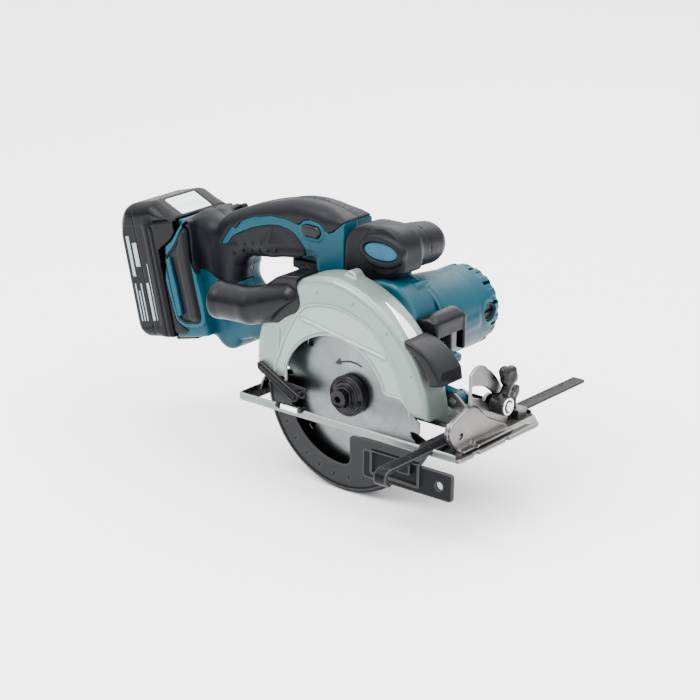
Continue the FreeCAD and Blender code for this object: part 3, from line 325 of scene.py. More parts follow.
class Nodes:
    """A short way to wire a node tree."""

    def __init__(self, name):
        self.material = bpy.data.materials.new(name)
        self.material.use_nodes = True
        self.tree = self.material.node_tree
        self.shader = self.tree.nodes["Principled BSDF"]
        self.point = self.node("ShaderNodeTexCoord").outputs["Object"]

    def node(self, kind, **values):
        made = self.tree.nodes.new(kind)
        for key, value in values.items():
            if key in made.inputs:
                if isinstance(value, bpy.types.NodeSocket):
                    self.tree.links.new(value, made.inputs[key])
                else:
                    made.inputs[key].default_value = value
            else:
                setattr(made, key, value)
        return made

    def link(self, a, b):
        self.tree.links.new(a, b)

    def noise(self, scale, detail=3.0, rough=0.55, stretch=None):
        point = self.point
        if stretch:
            point = self.node("ShaderNodeMapping", Vector=point, Scale=stretch).outputs[0]
        return self.node("ShaderNodeTexNoise", Vector=point, Scale=scale, Detail=detail,
                         Roughness=rough).outputs["Fac"]

    def scale(self, value, a, b, low, high):
        """Map a value from a..b to low..high."""
        made = self.node("ShaderNodeMapRange", Value=value)
        for socket, number in zip(("From Min", "From Max", "To Min", "To Max"), (a, b, low, high)):
            made.inputs[socket].default_value = number
        return made.outputs[0]

    def mix(self, share, a, b):
        made = self.node("ShaderNodeMix", data_type="RGBA")
        for socket, value in ((made.inputs[0], share), (made.inputs[6], a), (made.inputs[7], b)):
            if isinstance(value, bpy.types.NodeSocket):
                self.link(value, socket)
            else:
                socket.default_value = value if isinstance(value, float) else (*value[:3], 1.0)
        return made.outputs[2]

    def math(self, operation, a, b=0.0):
        made = self.node("ShaderNodeMath", operation=operation)
        for socket, value in zip(made.inputs, (a, b)):
            if isinstance(value, bpy.types.NodeSocket):
                self.link(value, socket)
            else:
                socket.default_value = value
        return made.outputs[0]

    def mark(self):
        """How sharp the edge is here, from grown."""
        return self.node("ShaderNodeAttribute", attribute_name="edge").outputs["Fac"]

    def finish(self, colour, rough, height=None, bump=0.1, reach=0.0004):
        self.link(colour, self.shader.inputs["Base Color"])
        self.link(rough, self.shader.inputs["Roughness"])
        if height is not None:
            made = self.node("ShaderNodeBump", Height=height, Strength=bump, Distance=reach)
            self.link(made.outputs[0], self.shader.inputs["Normal"])
        return self.material


def shade(colour, factor):
    return tuple(c * factor for c in colour)


def moulded(name, colour, rough, grain=1500.0, bump=0.12, worn=None, spread=0.10, shine=0.5):
    """Moulded plastic or rubber: a fine spark-eroded grain, uneven gloss, paler worn edges and painted shade
    in the hollows.
    """
    n = Nodes(name)
    broad, mottle, fine = n.noise(22.0, 4.0), n.noise(160.0, 3.0), n.noise(grain, 2.0, 0.7)
    base = n.mix(n.scale(broad, 0.3, 0.7, 0.0, 1.0), shade(colour, 1 - spread), shade(colour, 1 + spread))
    base = n.mix(n.scale(fine, 0.35, 0.65, 0.0, 0.35), base, shade(colour, 0.82))
    edge = n.math("MULTIPLY", n.scale(n.mark(), 0.12, 0.75, 0.0, 0.55), n.scale(mottle, 0.35, 0.6, 0.35, 1.0))
    base = n.mix(edge, base, worn or tuple(min(1, c * 1.5 + 0.02) for c in colour))
    # painted shade: hollows and creases are darkened towards 0.45 of the colour
    base = n.mix(n.scale(n.mark(), -0.7, -0.1, 0.45, 0.0), base, shade(colour, 0.45))
    gloss = n.math("ADD", n.scale(mottle, 0.3, 0.7, rough - 0.05, rough + 0.06),
                   n.scale(fine, 0.3, 0.7, -0.03, 0.03))
    n.shader.inputs["Specular IOR Level"].default_value = shine
    return n.finish(base, gloss, fine, bump, 0.00025)


def metal(name, colour, rough, metallic=1.0, stretch=None, scratch=0.10, bump=0.05, spread=0.12, hollow_shade=0.5,
          aniso=0.0, shine=0.5):
    """Bare or painted metal: drawn or ground marks, smudges, painted shade in the hollows, and bright edges.
    """
    n = Nodes(name)
    n.shader.inputs["Specular IOR Level"].default_value = shine
    n.shader.inputs["Metallic"].default_value = metallic
    if aniso:
        n.shader.inputs["Anisotropic"].default_value = aniso
    broad, smudge = n.noise(28.0, 5.0, 0.6), n.noise(120.0, 4.0, 0.65)
    lines = n.noise(420.0, 3.0, 0.65, stretch or (1.0, 1.0, 1.0))
    base = n.mix(n.scale(broad, 0.3, 0.7, 0.0, 1.0), shade(colour, 1 - spread), shade(colour, 1 + spread))
    base = n.mix(n.scale(lines, 0.35, 0.7, 0.0, 0.5), base, shade(colour, 0.8))
    base = n.mix(n.scale(n.mark(), 0.15, 0.8, 0.0, 0.6), base,
                 tuple(min(1.0, c * 1.25 + 0.05) for c in colour))
    # painted shade: hollows and creases are darkened towards 0.35 of the colour
    base = n.mix(n.scale(n.mark(), -0.8, -0.12, hollow_shade, 0.0), base, shade(colour, 0.35))
    gloss = n.math("ADD", n.scale(smudge, 0.3, 0.7, rough - scratch * 0.6, rough + scratch),
                   n.scale(lines, 0.3, 0.7, -scratch * 0.5, scratch * 0.5))
    return n.finish(base, gloss, lines, bump, 0.0003)


TEAL = (0.0, 0.042, 0.064)
M = {
    "teal": moulded("teal_plastic_moulded", TEAL, 0.40, 1300.0, 0.10, worn=(0.004, 0.08, 0.11), shine=0.16),
    "teal_cast": moulded("teal_alloy_painted", shade(TEAL, 0.94), 0.36, 700.0, 0.12, worn=(0.006, 0.10, 0.14),
                         shine=0.25),
    "inlay": moulded("teal_inlay_satin", (0.0, 0.055, 0.095), 0.38, 1500.0, 0.06, shine=0.2),
    "rubber": moulded("black_rubber_soft", (0.0024, 0.0028, 0.0045), 0.42, 1100.0, 0.20,
                      worn=(0.007, 0.008, 0.012),
                      shine=0.14),
    "black": moulded("black_plastic_satin", (0.002, 0.0022, 0.0035), 0.32, 1600.0, 0.10,
                     worn=(0.006, 0.007, 0.010), shine=0.16),
    "gloss": moulded("black_plastic_gloss", (0.002, 0.002, 0.003), 0.18, 500.0, 0.02, shine=0.18),
    "case": moulded("battery_case_satin", (0.0018, 0.002, 0.003), 0.34, 1500.0, 0.10,
                    worn=(0.005, 0.0055, 0.008),
                    shine=0.12),
    "print": moulded("pale_print", (0.20, 0.25, 0.27), 0.5, 1200.0, 0.02),
    "pale": moulded("pale_button_plastic", (0.66, 0.71, 0.71), 0.42, 1400.0, 0.05, worn=(0.8, 0.83, 0.83)),
    "paint": metal("silver_paint", (0.172, 0.212, 0.196), 0.36, 0.42, None, 0.05, 0.05, 0.05, 0.35),
    # bright bare metal, also used for the painted highlight band on the guard's crown
    "bare": metal("bright_metal_tab_and_rim_highlight", (0.80, 0.82, 0.83), 0.16, 1.0, (1.0, 6.0, 1.0), 0.08, 0.06),
    "dark": metal("dark_guard_paint", (0.0026, 0.003, 0.0045), 0.42, 0.0, None, 0.04, 0.05, 0.10, 0.0,
                  shine=0.07),
    "plate": metal("plate_steel", (0.135, 0.131, 0.128), 0.30, 1.0, (1.0, 9.0, 1.0), 0.10, 0.06, 0.20, 0.75,
                   0.3),
    "rail": metal("rail_grey", (0.16, 0.182, 0.175), 0.42, 0.6, (6.0, 1.0, 1.0), 0.10, 0.05, 0.14),
    "steel": metal("bright_steel", (0.60, 0.60, 0.61), 0.24, 1.0, None, 0.08, 0.05),
    "core": metal("core_steel", (0.20, 0.20, 0.21), 0.45, 0.8, (1.0, 30.0, 1.0), 0.1, 0.2),
    "copper": metal("commutator_copper", (0.72, 0.38, 0.22), 0.3, 1.0, (1.0, 20.0, 1.0), 0.1, 0.1),
    "fan": moulded("fan_nylon", (0.55, 0.53, 0.44), 0.5),
    "board": moulded("board_green", (0.02, 0.16, 0.07), 0.4, 900.0, 0.1),
    "cells": metal("cell_wrap", (0.05, 0.22, 0.20), 0.4, 0.2),
    "bar": metal("black_steel", (0.0024, 0.0028, 0.0040), 0.36, 0.0, (1.0, 8.0, 1.0), 0.05, 0.05, 0.1, 0.0,
                 shine=0.08),
    "lever": moulded("lever_black", (0.0022, 0.0024, 0.0035), 0.28, 1300.0, 0.08, shine=0.2),
    "lens": moulded("lamp_lens_grey", (0.030, 0.032, 0.040), 0.25, 900.0, 0.04),
}


def blade_finish():
    """Ground steel: fine rings, and a painted fan of lighter and darker sheen round the arbor that copies the
    anisotropic reflection.
    """
    n = Nodes("blade_ground_steel")
    n.shader.inputs["Metallic"].default_value = 1.0
    n.shader.inputs["Anisotropic"].default_value = 0.6
    tangent = n.node("ShaderNodeTangent", direction_type="RADIAL", axis="Y")
    n.link(tangent.outputs[0], n.shader.inputs["Tangent"])
    shifted = n.node("ShaderNodeVectorMath", operation="SUBTRACT")
    n.link(n.point, shifted.inputs[0])
    shifted.inputs[1].default_value = (0, 0, ARBOR[1] * MM)
    split = n.node("ShaderNodeSeparateXYZ", Vector=shifted.outputs[0])
    radius = n.math("SQRT", n.math("ADD", n.math("POWER", n.math("ABSOLUTE", split.outputs[0]), 2.0),
                                   n.math("POWER", n.math("ABSOLUTE", split.outputs[2]), 2.0)))
    angle = n.math("ARCTAN2", split.outputs[2], split.outputs[0])
    combined = n.node("ShaderNodeCombineXYZ", X=n.math("MULTIPLY", radius, 900.0),
                      Y=n.math("MULTIPLY", angle, 1.2))
    rings = n.node("ShaderNodeTexNoise", Vector=combined.outputs[0], Scale=1.0, Detail=3.0).outputs["Fac"]
    spokes = n.node("ShaderNodeCombineXYZ", X=n.math("COSINE", angle), Y=n.math("SINE", angle))
    sheen_fans = n.node("ShaderNodeTexNoise", Vector=spokes.outputs[0], Scale=1.7, Detail=5.0,
                  Roughness=0.6).outputs["Fac"]
    # painted reflection: wedges of lighter and darker steel round the arbor stand in for the ground blade's
    # sheen
    base = n.mix(n.scale(sheen_fans, 0.3, 0.7, 0.0, 1.0), (0.125, 0.137, 0.142), (0.20, 0.215, 0.22))
    base = n.mix(n.scale(rings, 0.35, 0.65, 0.0, 0.22), base, (0.09, 0.10, 0.105))
    gloss = n.scale(rings, 0.3, 0.7, 0.30, 0.38)
    return n.finish(base, gloss, rings, 0.02, 0.0001)


M["blade"] = blade_finish()

# ---------------------------------------------------------------- handle housing

HANDLE = flat([
    (-166, 40), (-161, 29), *arc3((-160, 24), (-148, 14.3), (-134, 24.5)), (-124, 28.5), (-100, 29), (-8, 33),
    (-8, 130), *arc3((-18, 141), (-55, 152.0), (-96, 147.4)), *arc3((-96, 147.4), (-127, 138), (-152, 127)),
    (-160, 120), (-177, 121),
])
OPENING = flat([
    *arc3((-134, 86), (-131, 94), (-122, 96.5)), (-92, 103), (-60, 107),
    *arc3((-56, 98), (-57, 80), (-64, 66)),
    *arc3((-116, 60), (-131, 66), (-134, 86)),
])
ROOMS = [flat([
    *arc3((-150, 108), (-138, 124), (-112, 137)), *arc3((-112, 137), (-80, 146), (-50, 145.8)), (-30, 138),
    (-30, 104), (-50, 106), (-54, 110.5), (-92, 107), (-121, 100.5), (-134, 100),
]), flat([
    (-160, 44), (-146, 34), (-100, 33), (-28, 37), (-28, 100), (-50, 100), (-51, 78), (-61, 62), (-112, 56),
    (-136, 60), (-141, 90), (-152, 100),
])]
SOFT = flat([
    (-180, 128), *spline([
        (-178.9, 106.6), (-173.6, 95), (-166.5, 80.9), (-159.3, 73.9), (-150.3, 71.8), (-141, 71.8),
        (-134, 76),
        (-129, 84), (-124, 90), (-110, 88), (-92, 90), (-80, 97), (-75.5, 105.5), (-66.5, 110.8),
        (-66.2, 117),
        (-73.9, 124.7), (-80.7, 128.4), (-92.8, 129.9), (-106.6, 127.6), (-124.1, 121.3), (-140.1, 112.6),
        (-150.9, 103.2),
    ])[:105],
    (-152.6, 104.5), (-147.2, 113.1), (-141.8, 119.7), (-139.6, 119.2), (-136.6, 119.8), (-135.0, 122.2),
    (-130.3, 127.5), (-118.8, 132.4), (-101.4, 136.4), (-85.9, 136.8), (-73, 134.6), (-69, 136.6),
    (-66, 139.6),
    (-60, 140.8), (-52, 139.6), (-47.5, 137.2), (-45.5, 134.4), (-42, 133.2), (-37, 135.5), (-28.8, 142.9),
    (-17.4, 149.7), (-16, 162), (-60, 172), (-150, 162), (-205, 140),
])
OVAL_AT, OVAL_HALF = (-58.7, 132.0), 4.6
ISLAND = flat(rounded([(80.6, 95.3), (70.3, 91.8), (62.6, 84.6), (57.3, 79.2), (42.2, 71.6), (41.4, 58.6),
                       (43, 36),
                       (45.4, 13), (54, 6.8), (71.3, 6.6), (77.5, 10), (78.7, 23.7), (77, 46), (77.3, 68.1),
                       (79.7, 77.5)], 4.0))
PANEL_EDGE = flat(rounded([(48.4, 14), (45.8, 40), (45.0, 66), (57.8, 74.8), (67, 85), (71.5, 90),
                           (76.2, 87.5),
                           (73.6, 66), (73.4, 40), (74.3, 14), (71.5, 10), (54.5, 10)], 3.5))
DOCK_CORNER = flat([(36, 71.4), (42, 72.6), (57, 80.2), (62.3, 85.6), (69.5, 92.8), (71, 110), (36, 110)])


def oval(x, z, grow):
    """A slot shape that lies along the handle."""
    t = np.clip(x - OVAL_AT[0], -OVAL_HALF, OVAL_HALF)
    return np.hypot(x - OVAL_AT[0] - t, z - OVAL_AT[1]) - grow


def gearbox(x, y, z, grow=0.0):
    lobes = join(peg(x, y, z, ARBOR, 16 + grow, 15.3, 36 + grow, 1.0),
                 peg(x, y, z, IDLER, 26 + grow, 15.3, 48 + grow, 1.5),
                 peg(x, y, z, MOTOR, 35 + grow, 15.3, 48 + grow, 3.0))
    solid = melt(lobes, slab(CHEEK(x, z) - grow, y, 15.3, 36 + grow, 1.5), 5.0)
    return melt(solid, slab(NECK(x, z) - grow, y, 18.0, 48 + grow, 5.0), 4.0)


NECK = flat(rounded([(-20.5, 66), (-20.5, 101, 6), (-9, 102.5), (10, 106.5), (26, 107, 12), (38, 98, 8),
                     (46, 84, 6),
                     (48, 66)], 3.0))
CHEEK = flat([(-15, 20), (-20, 40), (-20.5, 70), (48, 70), (44, 40), (15, 20)])


def housing(x, y, z):
    """The outer form of handle and dock together."""
    r = 5.0 + 6.5 * ramp(z, 92, 112) * (1 - ramp(x, -48, -26))
    r = r + (13.0 - r) * ramp(-x, 100, 120) * ramp(z, 56, 76) * (1 - ramp(z, 108, 122))
    shape = meet(meet(HANDLE(x, z), -OPENING(x, z)), np.abs(y - MIDDLE) - 18.0, r)
    u, w = pack_axes(x, z)
    side = np.abs(y - MIDDLE)
    dock = less(box(u, y, w, (40.6, 4, -2), (76, 72, 95), 3.0), slab(DOCK_CORNER(u, w), side, 28, 60), 1.0)
    shape = melt(shape, dock, 9.0 + 7.0 * ramp(z, 70, 110))
    island = less(slab(ISLAND(u, w), side, 30, 36.2, 1.0), slab(PANEL_EDGE(u, w), side, 32.4, 40), 0.6)
    shape = join(less(shape, slab(PANEL_EDGE(u, w), side, 32.4, 40)), island)
    frame_lip = slab(oval(x, z, 7.6), y, 19.3, 56.7, 1.0)
    return join(shape, frame_lip)


def housing_shell(x, y, z):
    outer = housing(x, y, z)
    u, w = pack_axes(x, z)
    rooms = join(slab(ROOMS[0](x, z), y, 22.6, 53.4), slab(ROOMS[1](x, z), y, 22.6, 53.4),
                 box(u, y, w, (64, 7, 2), (73.5, 69, 91)))
    shell = less(outer, meet(rooms, outer + WALL))
    shell = less(shell, box(u, y, w, (30, 8, -10), (61.5, 68, 110), 1.0), 0.6)
    shell = less(shell, box(u, y, w, (20, 0, -10), (40.6, 80, 120), 0.1), 0.5)
    shell = less(shell, box(u, y, w, (60, 20, 8), (65, 56, 60)))
    shell = less(shell, gearbox(x, y, z, 0.4))
    shell = less(shell, peg(x, y, z, MOTOR, 33.8, 40, 80))
    shell = less(shell, box(x, y, z, (-90.4, 30.5, 88), (-59, 45.5, 118), 1.0))
    shell = less(shell, slab(oval(x, z, 4.9), y, 0, 23.5), 0.8)
    shell = less(shell, slab(oval(x, z, 4.9), y, 52.5, 80), 0.8)
    return meet(shell, x + 27.0)


def soft_region(x, y, z):
    """Where the overmould lies; on the far half it stops above the dock."""
    edge = SOFT(x, z)
    return np.where(y > MIDDLE, meet(edge, 94.0 - z), edge)


def shell_half(side):
    def field(x, y, z):
        shell = less(housing_shell(x, y, z), meet(soft_region(x, y, z) - 0.1, -(housing(x, y, z) + 1.5)))
        return meet(shell, side * (y - MIDDLE), 0.35)
    return field


def soft_half(side):
    def field(x, y, z):
        outer = housing(x, y, z)
        skin = meet(outer - 0.45, housing_shell(x, y, z) - 0.45)
        skin = meet(skin, -(outer + 1.35))
        skin = meet(skin, soft_region(x, y, z) + 0.15, 0.7)
        a = (x + 120) * 0.97 + (z - 113) * 0.24
        b = (z - 113) * 0.97 - (x + 120) * 0.24
        row = np.floor(b / 6.2)
        du = np.mod(a + 4.5 * np.mod(row, 2), 9.0) - 4.5
        dv = np.mod(b, 6.2) - 3.1
        dots = np.sqrt(du ** 2 + dv ** 2 + (np.abs(y - MIDDLE) - 17.9) ** 2) - 1.35
        dots = meet(dots, DOTS(x, z))
        return meet(join(skin, dots), side * (y - MIDDLE), 0.35)
    return field


DOTS = flat([(-146, 97), (-118, 99), (-98, 103), (-94, 112), (-104, 119), (-122, 115), (-140, 106)])

for label, side, low_y, high_y in (("right", 1, 3, 38), ("left", -1, 38, 73)):
    shell = grown("handle_shell_" + label + "_moulded", shell_half(side), (-196, low_y, 11),
                  (-22, high_y, 154),
                  0.9, 0.6)
    fit_on(shell, "saw_body", M["teal"], ["handle_shell_" + label])
    soft = grown("grip_" + label + "_overmould", soft_half(side), (-196, low_y, 68), (-22, high_y, 155),
                 0.75, 0.6)
    fit_on(soft, "saw_body", M["rubber"], ["grip_" + label])


RIDGE = flat(rounded([(61.0, 12), (60.2, 70), (67.2, 84), (71.8, 88.4), (75.0, 86), (72.6, 64), (72.6, 40),
                      (73.2, 13), (70, 11)], 3.0))
STRIP = flat(rounded([(47.9, 64.5), (51.4, 66.2), (53.1, 41.4), (53.4, 17.6), (49.2, 17.1), (47.6, 41.6)],
                     1.2))
SIDE_FILL = flat([(40.9, 3.0), (40.9, 58), (42.4, 36), (44.8, 13), (52, 6.2), (56, 4.0), (50, 1.0)])


def dock_panel(u, y, w):
    """The dark inlay on the side of the dock: a sunk floor, and a smooth ridge for the hand."""
    side = np.abs(y - MIDDLE)
    floor_part = slab(PANEL_EDGE(u, w) + 0.15, side, 32.5, 34.2, 0.3)
    ridge = slab(RIDGE(u, w), side, 32.5, 38.4, 3.6)
    frame_part = slab(meet(PANEL_EDGE(u, w) + 0.15, -(PANEL_EDGE(u, w) + 1.6)), side, 32.5, 35.6, 0.5)
    body = melt(join(floor_part, frame_part), ridge, 1.2)
    return join(body, slab(SIDE_FILL(u, w), side, 31, 35.6, 0.8))


for label, y_low, y_high, face in (("right", -1, 8, 2.4), ("left", 68, 77, 73.6)):
    panel = grown("dock_panel_" + label, dock_panel, (40, y_low, 0), (77, y_high, 92), 0.6, 0.6, PACK_PLACE)
    fit_on(panel, "saw_body", M["rubber"], ["bumper_" + label])
    strip = grown("dock_strip_" + label, lambda u, y, w: slab(STRIP(u, w), y, face - 1.5, face + 1.5, 0.6),
                  (47, face - 2, 16), (54, face + 2, 68), 0.5, 0.8, PACK_PLACE)
    fit_on(strip, "saw_body", M["teal"])


@piece("lock_off_button_oval", (-69, 17, 124), (-48, 59, 138), 0.6, 0.7, "lock_off", "black_plastic",
       "gloss", "lock_off_button")
def button_cap(x, y, z):
    bulge = oval(x, z, 4.4 + 0.35 * np.sqrt(meet(1 - (np.abs(y - MIDDLE) / 24) ** 2, 0)))
    low = slab(bulge, y, 17.6, 24.0, 1.9)
    high = slab(bulge, y, 52.0, 58.4, 1.9)
    return join(low, high, peg(x, y, z, (-59.5, 131.0), 2.6, 23, 53))

TRIGGER = flat([*arc3((-88.5, 94), (-76, 91), (-66, 84)), (-62.5, 85), (-60.3, 90), (-60.5, 103),
                (-88.5, 103)])


@piece("trigger_moulded", (-90, 30, 82), (-59, 46, 108), 0.6, 0.7, "trigger", "black_plastic", "black",
       "trigger")
def trigger_form(x, y, z):
    front = slab(TRIGGER(x, z), y, 31, 45, 3.0)
    groove = np.abs(np.mod(z + 0.3 * x, 3.4) - 1.7) - 0.35
    groove = meet(groove, meet(88 - z, z - 99))
    front = less(front, meet(groove, -(front + 0.45)))
    return join(front, box(x, y, z, (-84, 33, 100), (-62, 43, 107.5)))

# ---------------------------------------------------------------- front grip

RING_AT = (12.0, 130.0)
POST = flat(rounded([(-27.0, 84), (-27.0, 134, 10), (-18, 143.5, 10), (-5, 148.0, 10), (14, 147, 10),
                     (27, 140, 8),
                     (31.5, 121, 4), (30.5, 114, 3), (14, 107.8, 3), (-9, 101.5, 3), (-20, 96, 3)], 4))
GUARD_OUT = flat([*arc3((-84, 19), (-69, 83), (-8, 112)), *arc3((-8, 112), (55, 81), (84, 19))])


def ellipse(x, z, a, b):
    u, v = (x - RING_AT[0]) / a, (z - RING_AT[1]) / b
    return (np.sqrt(u * u + v * v + 1e-6) - 1) * min(a, b)


def front_grip_form(x, y, z):
    bar = capsule(x, y, z, (12.2, 24, 130.2), (10.0, 74.5, 124.2), 18.2,
                  16.6) - 0.0009 * (y - 20) * (90 - y) * 0.5
    bar = meet(bar, 19.0 - y)
    post = slab(POST(x, z), y, 19.8, 47.0, 4.0)
    grip = melt(bar, post, 4.0)
    ring = slab(ellipse(x, z, 21.0, 12.8), y, 15.6, 25, 2.2)
    ring = less(ring, slab(ellipse(x, z, 16.4, 7.4), y, 5, 17.8, 0.5), 1.0)
    grip = melt(grip, ring, 1.0)
    seam = np.abs(y - 57.0 - 0.12 * (x - 6) + 0.10 * (z - 128)) - 0.3
    grip = less(grip, meet(seam, -(grip + 0.6)), 0.2)
    grip = less(grip, gearbox(x, y, z, 0.4))
    grip = less(grip, motor_shoulder(x, y, z) - 0.3)
    return less(grip, slab(GUARD_OUT(x, z) - 0.3, y, -20, 19.4))


def motor_shoulder(x, y, z):
    share = np.clip((y - 48.0) / 56.0, 0, 1)
    return np.hypot(x - MOTOR[0], z - MOTOR[1] - 3.5 * (1 - share)) - 33.4 - 3.5 * (1 - share)


grip = grown("front_grip_bar", front_grip_form, (-29, 14, 82), (33, 104, 151), 0.9, 0.6)
fit_on(grip, "saw_body", M["rubber"], ["front_grip"])
badge = grown("front_grip_inlay", lambda x, y, z: slab(ellipse(x, z, 15.8, 6.8), y, 16.7, 17.9, 0.6),
              (-5, 16, 122), (29, 19, 138), 0.5, 0.7)
fit_on(badge, "saw_body", M["inlay"], ["front_grip_badge"])

# ---------------------------------------------------------------- gear housing and motor


LUG_AT = (46.0, 47.0)
GEAR_POCKETS = [
    (ARBOR, 14.6, 19.5, 29.9), (ARBOR, 13.05, 7.5, 15.7), (ARBOR, 9.0, 0.0, 20.0), (ARBOR, 9.55, 29, 34.2),
    (IDLER, 9.8, 19.5, 34.9), (IDLER, 6.9, 15.9, 20), (IDLER, 23.6, 34.9, 42.2), (IDLER, 6.9, 42, 46.2),
    (MOTOR, 8.6, 34.5, 44), (MOTOR, 10.6, 43.9, 60), ((84.5, 27.0), 3.1, 10, 40),
]
ARM = flat([(20, 26), (60, 21), *arc3((84.5, 20.5), (91, 27), (84.5, 33.5)), (62, 36), (40, 52)])


@piece("gear_housing_cast", (-22, 6, 0), (93, 52, 112), 0.9, 0.6, "saw_body", "teal_alloy", "teal_cast",
       "gear_housing")
def gear_form(x, y, z):
    solid = gearbox(x, y, z)
    solid = melt(solid, slab(ARM(x, z), y, 18, 26, 1.2), 2.0)
    solid = melt(solid, peg(x, y, z, ARBOR, 15.4, 7.0, 17, 0.6), 1.0)
    solid = melt(solid, peg(x, y, z, LUG_AT, 5.2, 24, 50.5, 1.2), 2.5)
    solid = less(solid, peg(x, y, z, LUG_AT, 2.2, 10, 26.5), 0.5)
    rib = meet(np.abs(motor_shoulder(x, y, z)) - 1.1, np.abs(y - 48.6) - 1.3)
    solid = melt(solid, rib, 1.2)
    for boss_x, boss_z, tall in ((15.0, 105.5, 3.6), (31.0, 101.5, 3.4)):
        solid = melt(solid, peg(x, y, z, (boss_x, boss_z), tall, 34, 49.5, 1.0), 1.5)
    lamp_lug = melt(box(x, y, z, (58, 24, 51), (77, 38, 58.5), 3.0),
                    box(x, y, z, (38, 22, 50), (66, 34, 60), 3.0), 5)
    solid = melt(solid, lamp_lug, 4.0)
    for centre, radius, near, far in GEAR_POCKETS:
        solid = less(solid, peg(x, y, z, centre, radius, near, far))
    solid = less(solid, capsule(x, y, z, (14.4, 24.5, 17), (40, 24.5, 17), 2.6))
    solid = less(solid, meet(motor_shoulder(x, y, z) + 2.0, 48.0 - y))
    return less(solid, slab(GUARD_OUT(x, z), y, -20, 15.1))


CAP_AT = (113.5, 65.5)


@piece("motor_housing_barrel", (-25, 47, 27), (52, 134, 105), 0.9, 0.6, "saw_body", "teal_plastic", "teal",
       "motor_housing")
def motor_form(x, y, z):
    radial = np.hypot(x - MOTOR[0], z - MOTOR[1])
    turn = np.arctan2(z - MOTOR[1], x - MOTOR[0])
    outer = motor_shoulder(x, y, z)
    scallop = 0.9 * ramp(y, 117, 121) * (np.cos(turn * 18) > 0.15)
    body = meet(outer + scallop, np.abs(y - 89.4) - 43.5, 10.0)
    body = meet(body, 48.05 - y)
    spine = box(x, y, z, (MOTOR[0] + 26, 62, 58.0), (MOTOR[0] + 34.2, 100, 67.0), 2.5)
    body = melt(body, spine, 4.0)
    seam = meet(np.abs(z - MOTOR[1] + 24) - 0.3, -(body + 0.6))
    body = less(body, seam)
    body = less(body, meet(radial - 30.8, np.abs(y - 89) - 38, 1.0))
    away = np.hypot(y - CAP_AT[0], z - CAP_AT[1])
    for side in (1, -1):
        body = melt(body, slab(away - 9.4, (x - MOTOR[0]) * side, 25, 33.4, 0.8), 1.5)
        body = less(body, slab(away - 7.75, (x - MOTOR[0]) * side, 20, 45), 0.5)
    step = math.pi / 6
    k = np.mod(turn, step) - step / 2
    slit = meet(np.abs(k * radial) - 1.5, meet(np.abs(y - 122.5) - 5.2, 24 - radial))
    end_slit = meet(np.abs(x - MOTOR[0]) - 17, np.abs(np.mod(z - MOTOR[1], 5.4) - 2.7) - 1.1)
    end_slit = meet(end_slit, meet(np.abs(z - MOTOR[1]) - 13.5, 126 - y))
    return less(less(body, slit, 0.3), end_slit, 0.3)


@piece("brush_cap_pair", (-21, 104, 56), (48, 123, 75), 0.6, 0.7, "saw_body", "black_plastic", "black",
       "brush_caps")
def cap_form(x, y, z):
    """A screw cap with a coin slot on each side of the motor."""
    caps = []
    away = np.hypot(y - CAP_AT[0], z - CAP_AT[1])
    for side in (1, -1):
        t = (x - MOTOR[0]) * side
        cap = slab(away - 7.5, t, 27.0, 32.4, 0.6)
        dish = slab(away - 5.8, t, 30.6, 40, 0.3)
        slot = box(t, y, z, (29.0, CAP_AT[0] - 6.2, CAP_AT[1] - 0.9),
                   (40, CAP_AT[0] + 6.2, CAP_AT[1] + 0.9), 0.3)
        caps.append(less(less(cap, dish, 0.3), slot, 0.2))
    return join(*caps)


@piece("lamp_hood", (38, 16, 53), (68, 59, 91), 0.7, 0.7, "saw_body", "black_plastic", "black",
       "lamp_housing")
def lamp_form(x, y, z):
    hood = melt(box(x, y, z, (49, 18, 68.5), (65.5, 56, 84), 3.0),
                capsule(x, y, z, (56.5, 25.5, 80), (56.5, 49.5, 80), 8.0, 8.3), 3.0)
    hood = meet(hood, 18.0 - y)
    arm = box(x, y, z, (40, 18, 66), (56, 32, 84), 3.0)
    end = box(x, y, z, (50, 52.5, 54.5), (66, 57, 82), 2.2)
    hood = melt(melt(hood, arm, 3.0), end, 2.0)
    hood = less(hood, box(x, y, z, (51.2, 20.2, 50), (63.8, 53.6, 83.5), 2.0), 0.6)
    hood = less(hood, box(x, y, z, (56, 20.2, 40), (80, 52.2, 70.5), 1.5), 0.6)
    hood = less(hood, gearbox(x, y, z, 0.3))
    hood = less(hood, motor_shoulder(x, meet(y, 48), z) - 0.3)
    return less(hood, slab(GUARD_OUT(x, z) - 0.4, y, -20, 15.3))


@piece("lamp_block", (51, 25, 55), (66, 51, 84), 0.6, 0.7, "saw_body", "lamp_lens", "lens", "lamp_lens")
def lens_form(x, y, z):
    stem = box(x, y, z, (56.8, 39.4, 56.5), (64.4, 46.4, 76), 1.0)
    return melt(stem, box(x, y, z, (52.5, 26, 72), (63.4, 50, 83), 1.5), 2.0)

# ---------------------------------------------------------------- guards

WINDOW = flat([
    (-53.3, -8), (-53.3, 12), *arc3((-53.8, 31), (-43.5, 49), (-26.6, 61)),
    *arc3((-26.6, 61), (-7, 65.6), (13, 62)),
    *arc3((13, 62), (30, 50.6), (41.6, 31.9)), (45, 29.6), (56.8, 29.9),
    *arc3((58, 29.5), (63.5, 25.5), (66.5, 18.8)),
    (66.5, -8),
])
INNER = flat([(-82, -10), (-82, 19), *arc3((-82, 19), (-67.5, 81.6), (-8, 110)),
              *arc3((-8, 110), (53.5, 79.6), (82, 19)),
              (82, -10)])
CROWN = flat([(-84, 17.5), *arc3((-84, 19), (-69, 83), (-8, 112)), *arc3((-8, 112), (55, 81), (84, 19)),
              (84, 17.5)])
PANEL = flat(spline([(-62, 19), (-60, 44), (-50, 66), (-41, 79), (-30, 86.5), (-8, 90), (14, 86.5), (34, 76),
                     (49, 58), (58, 40), (64, 19), (0, 12)]))


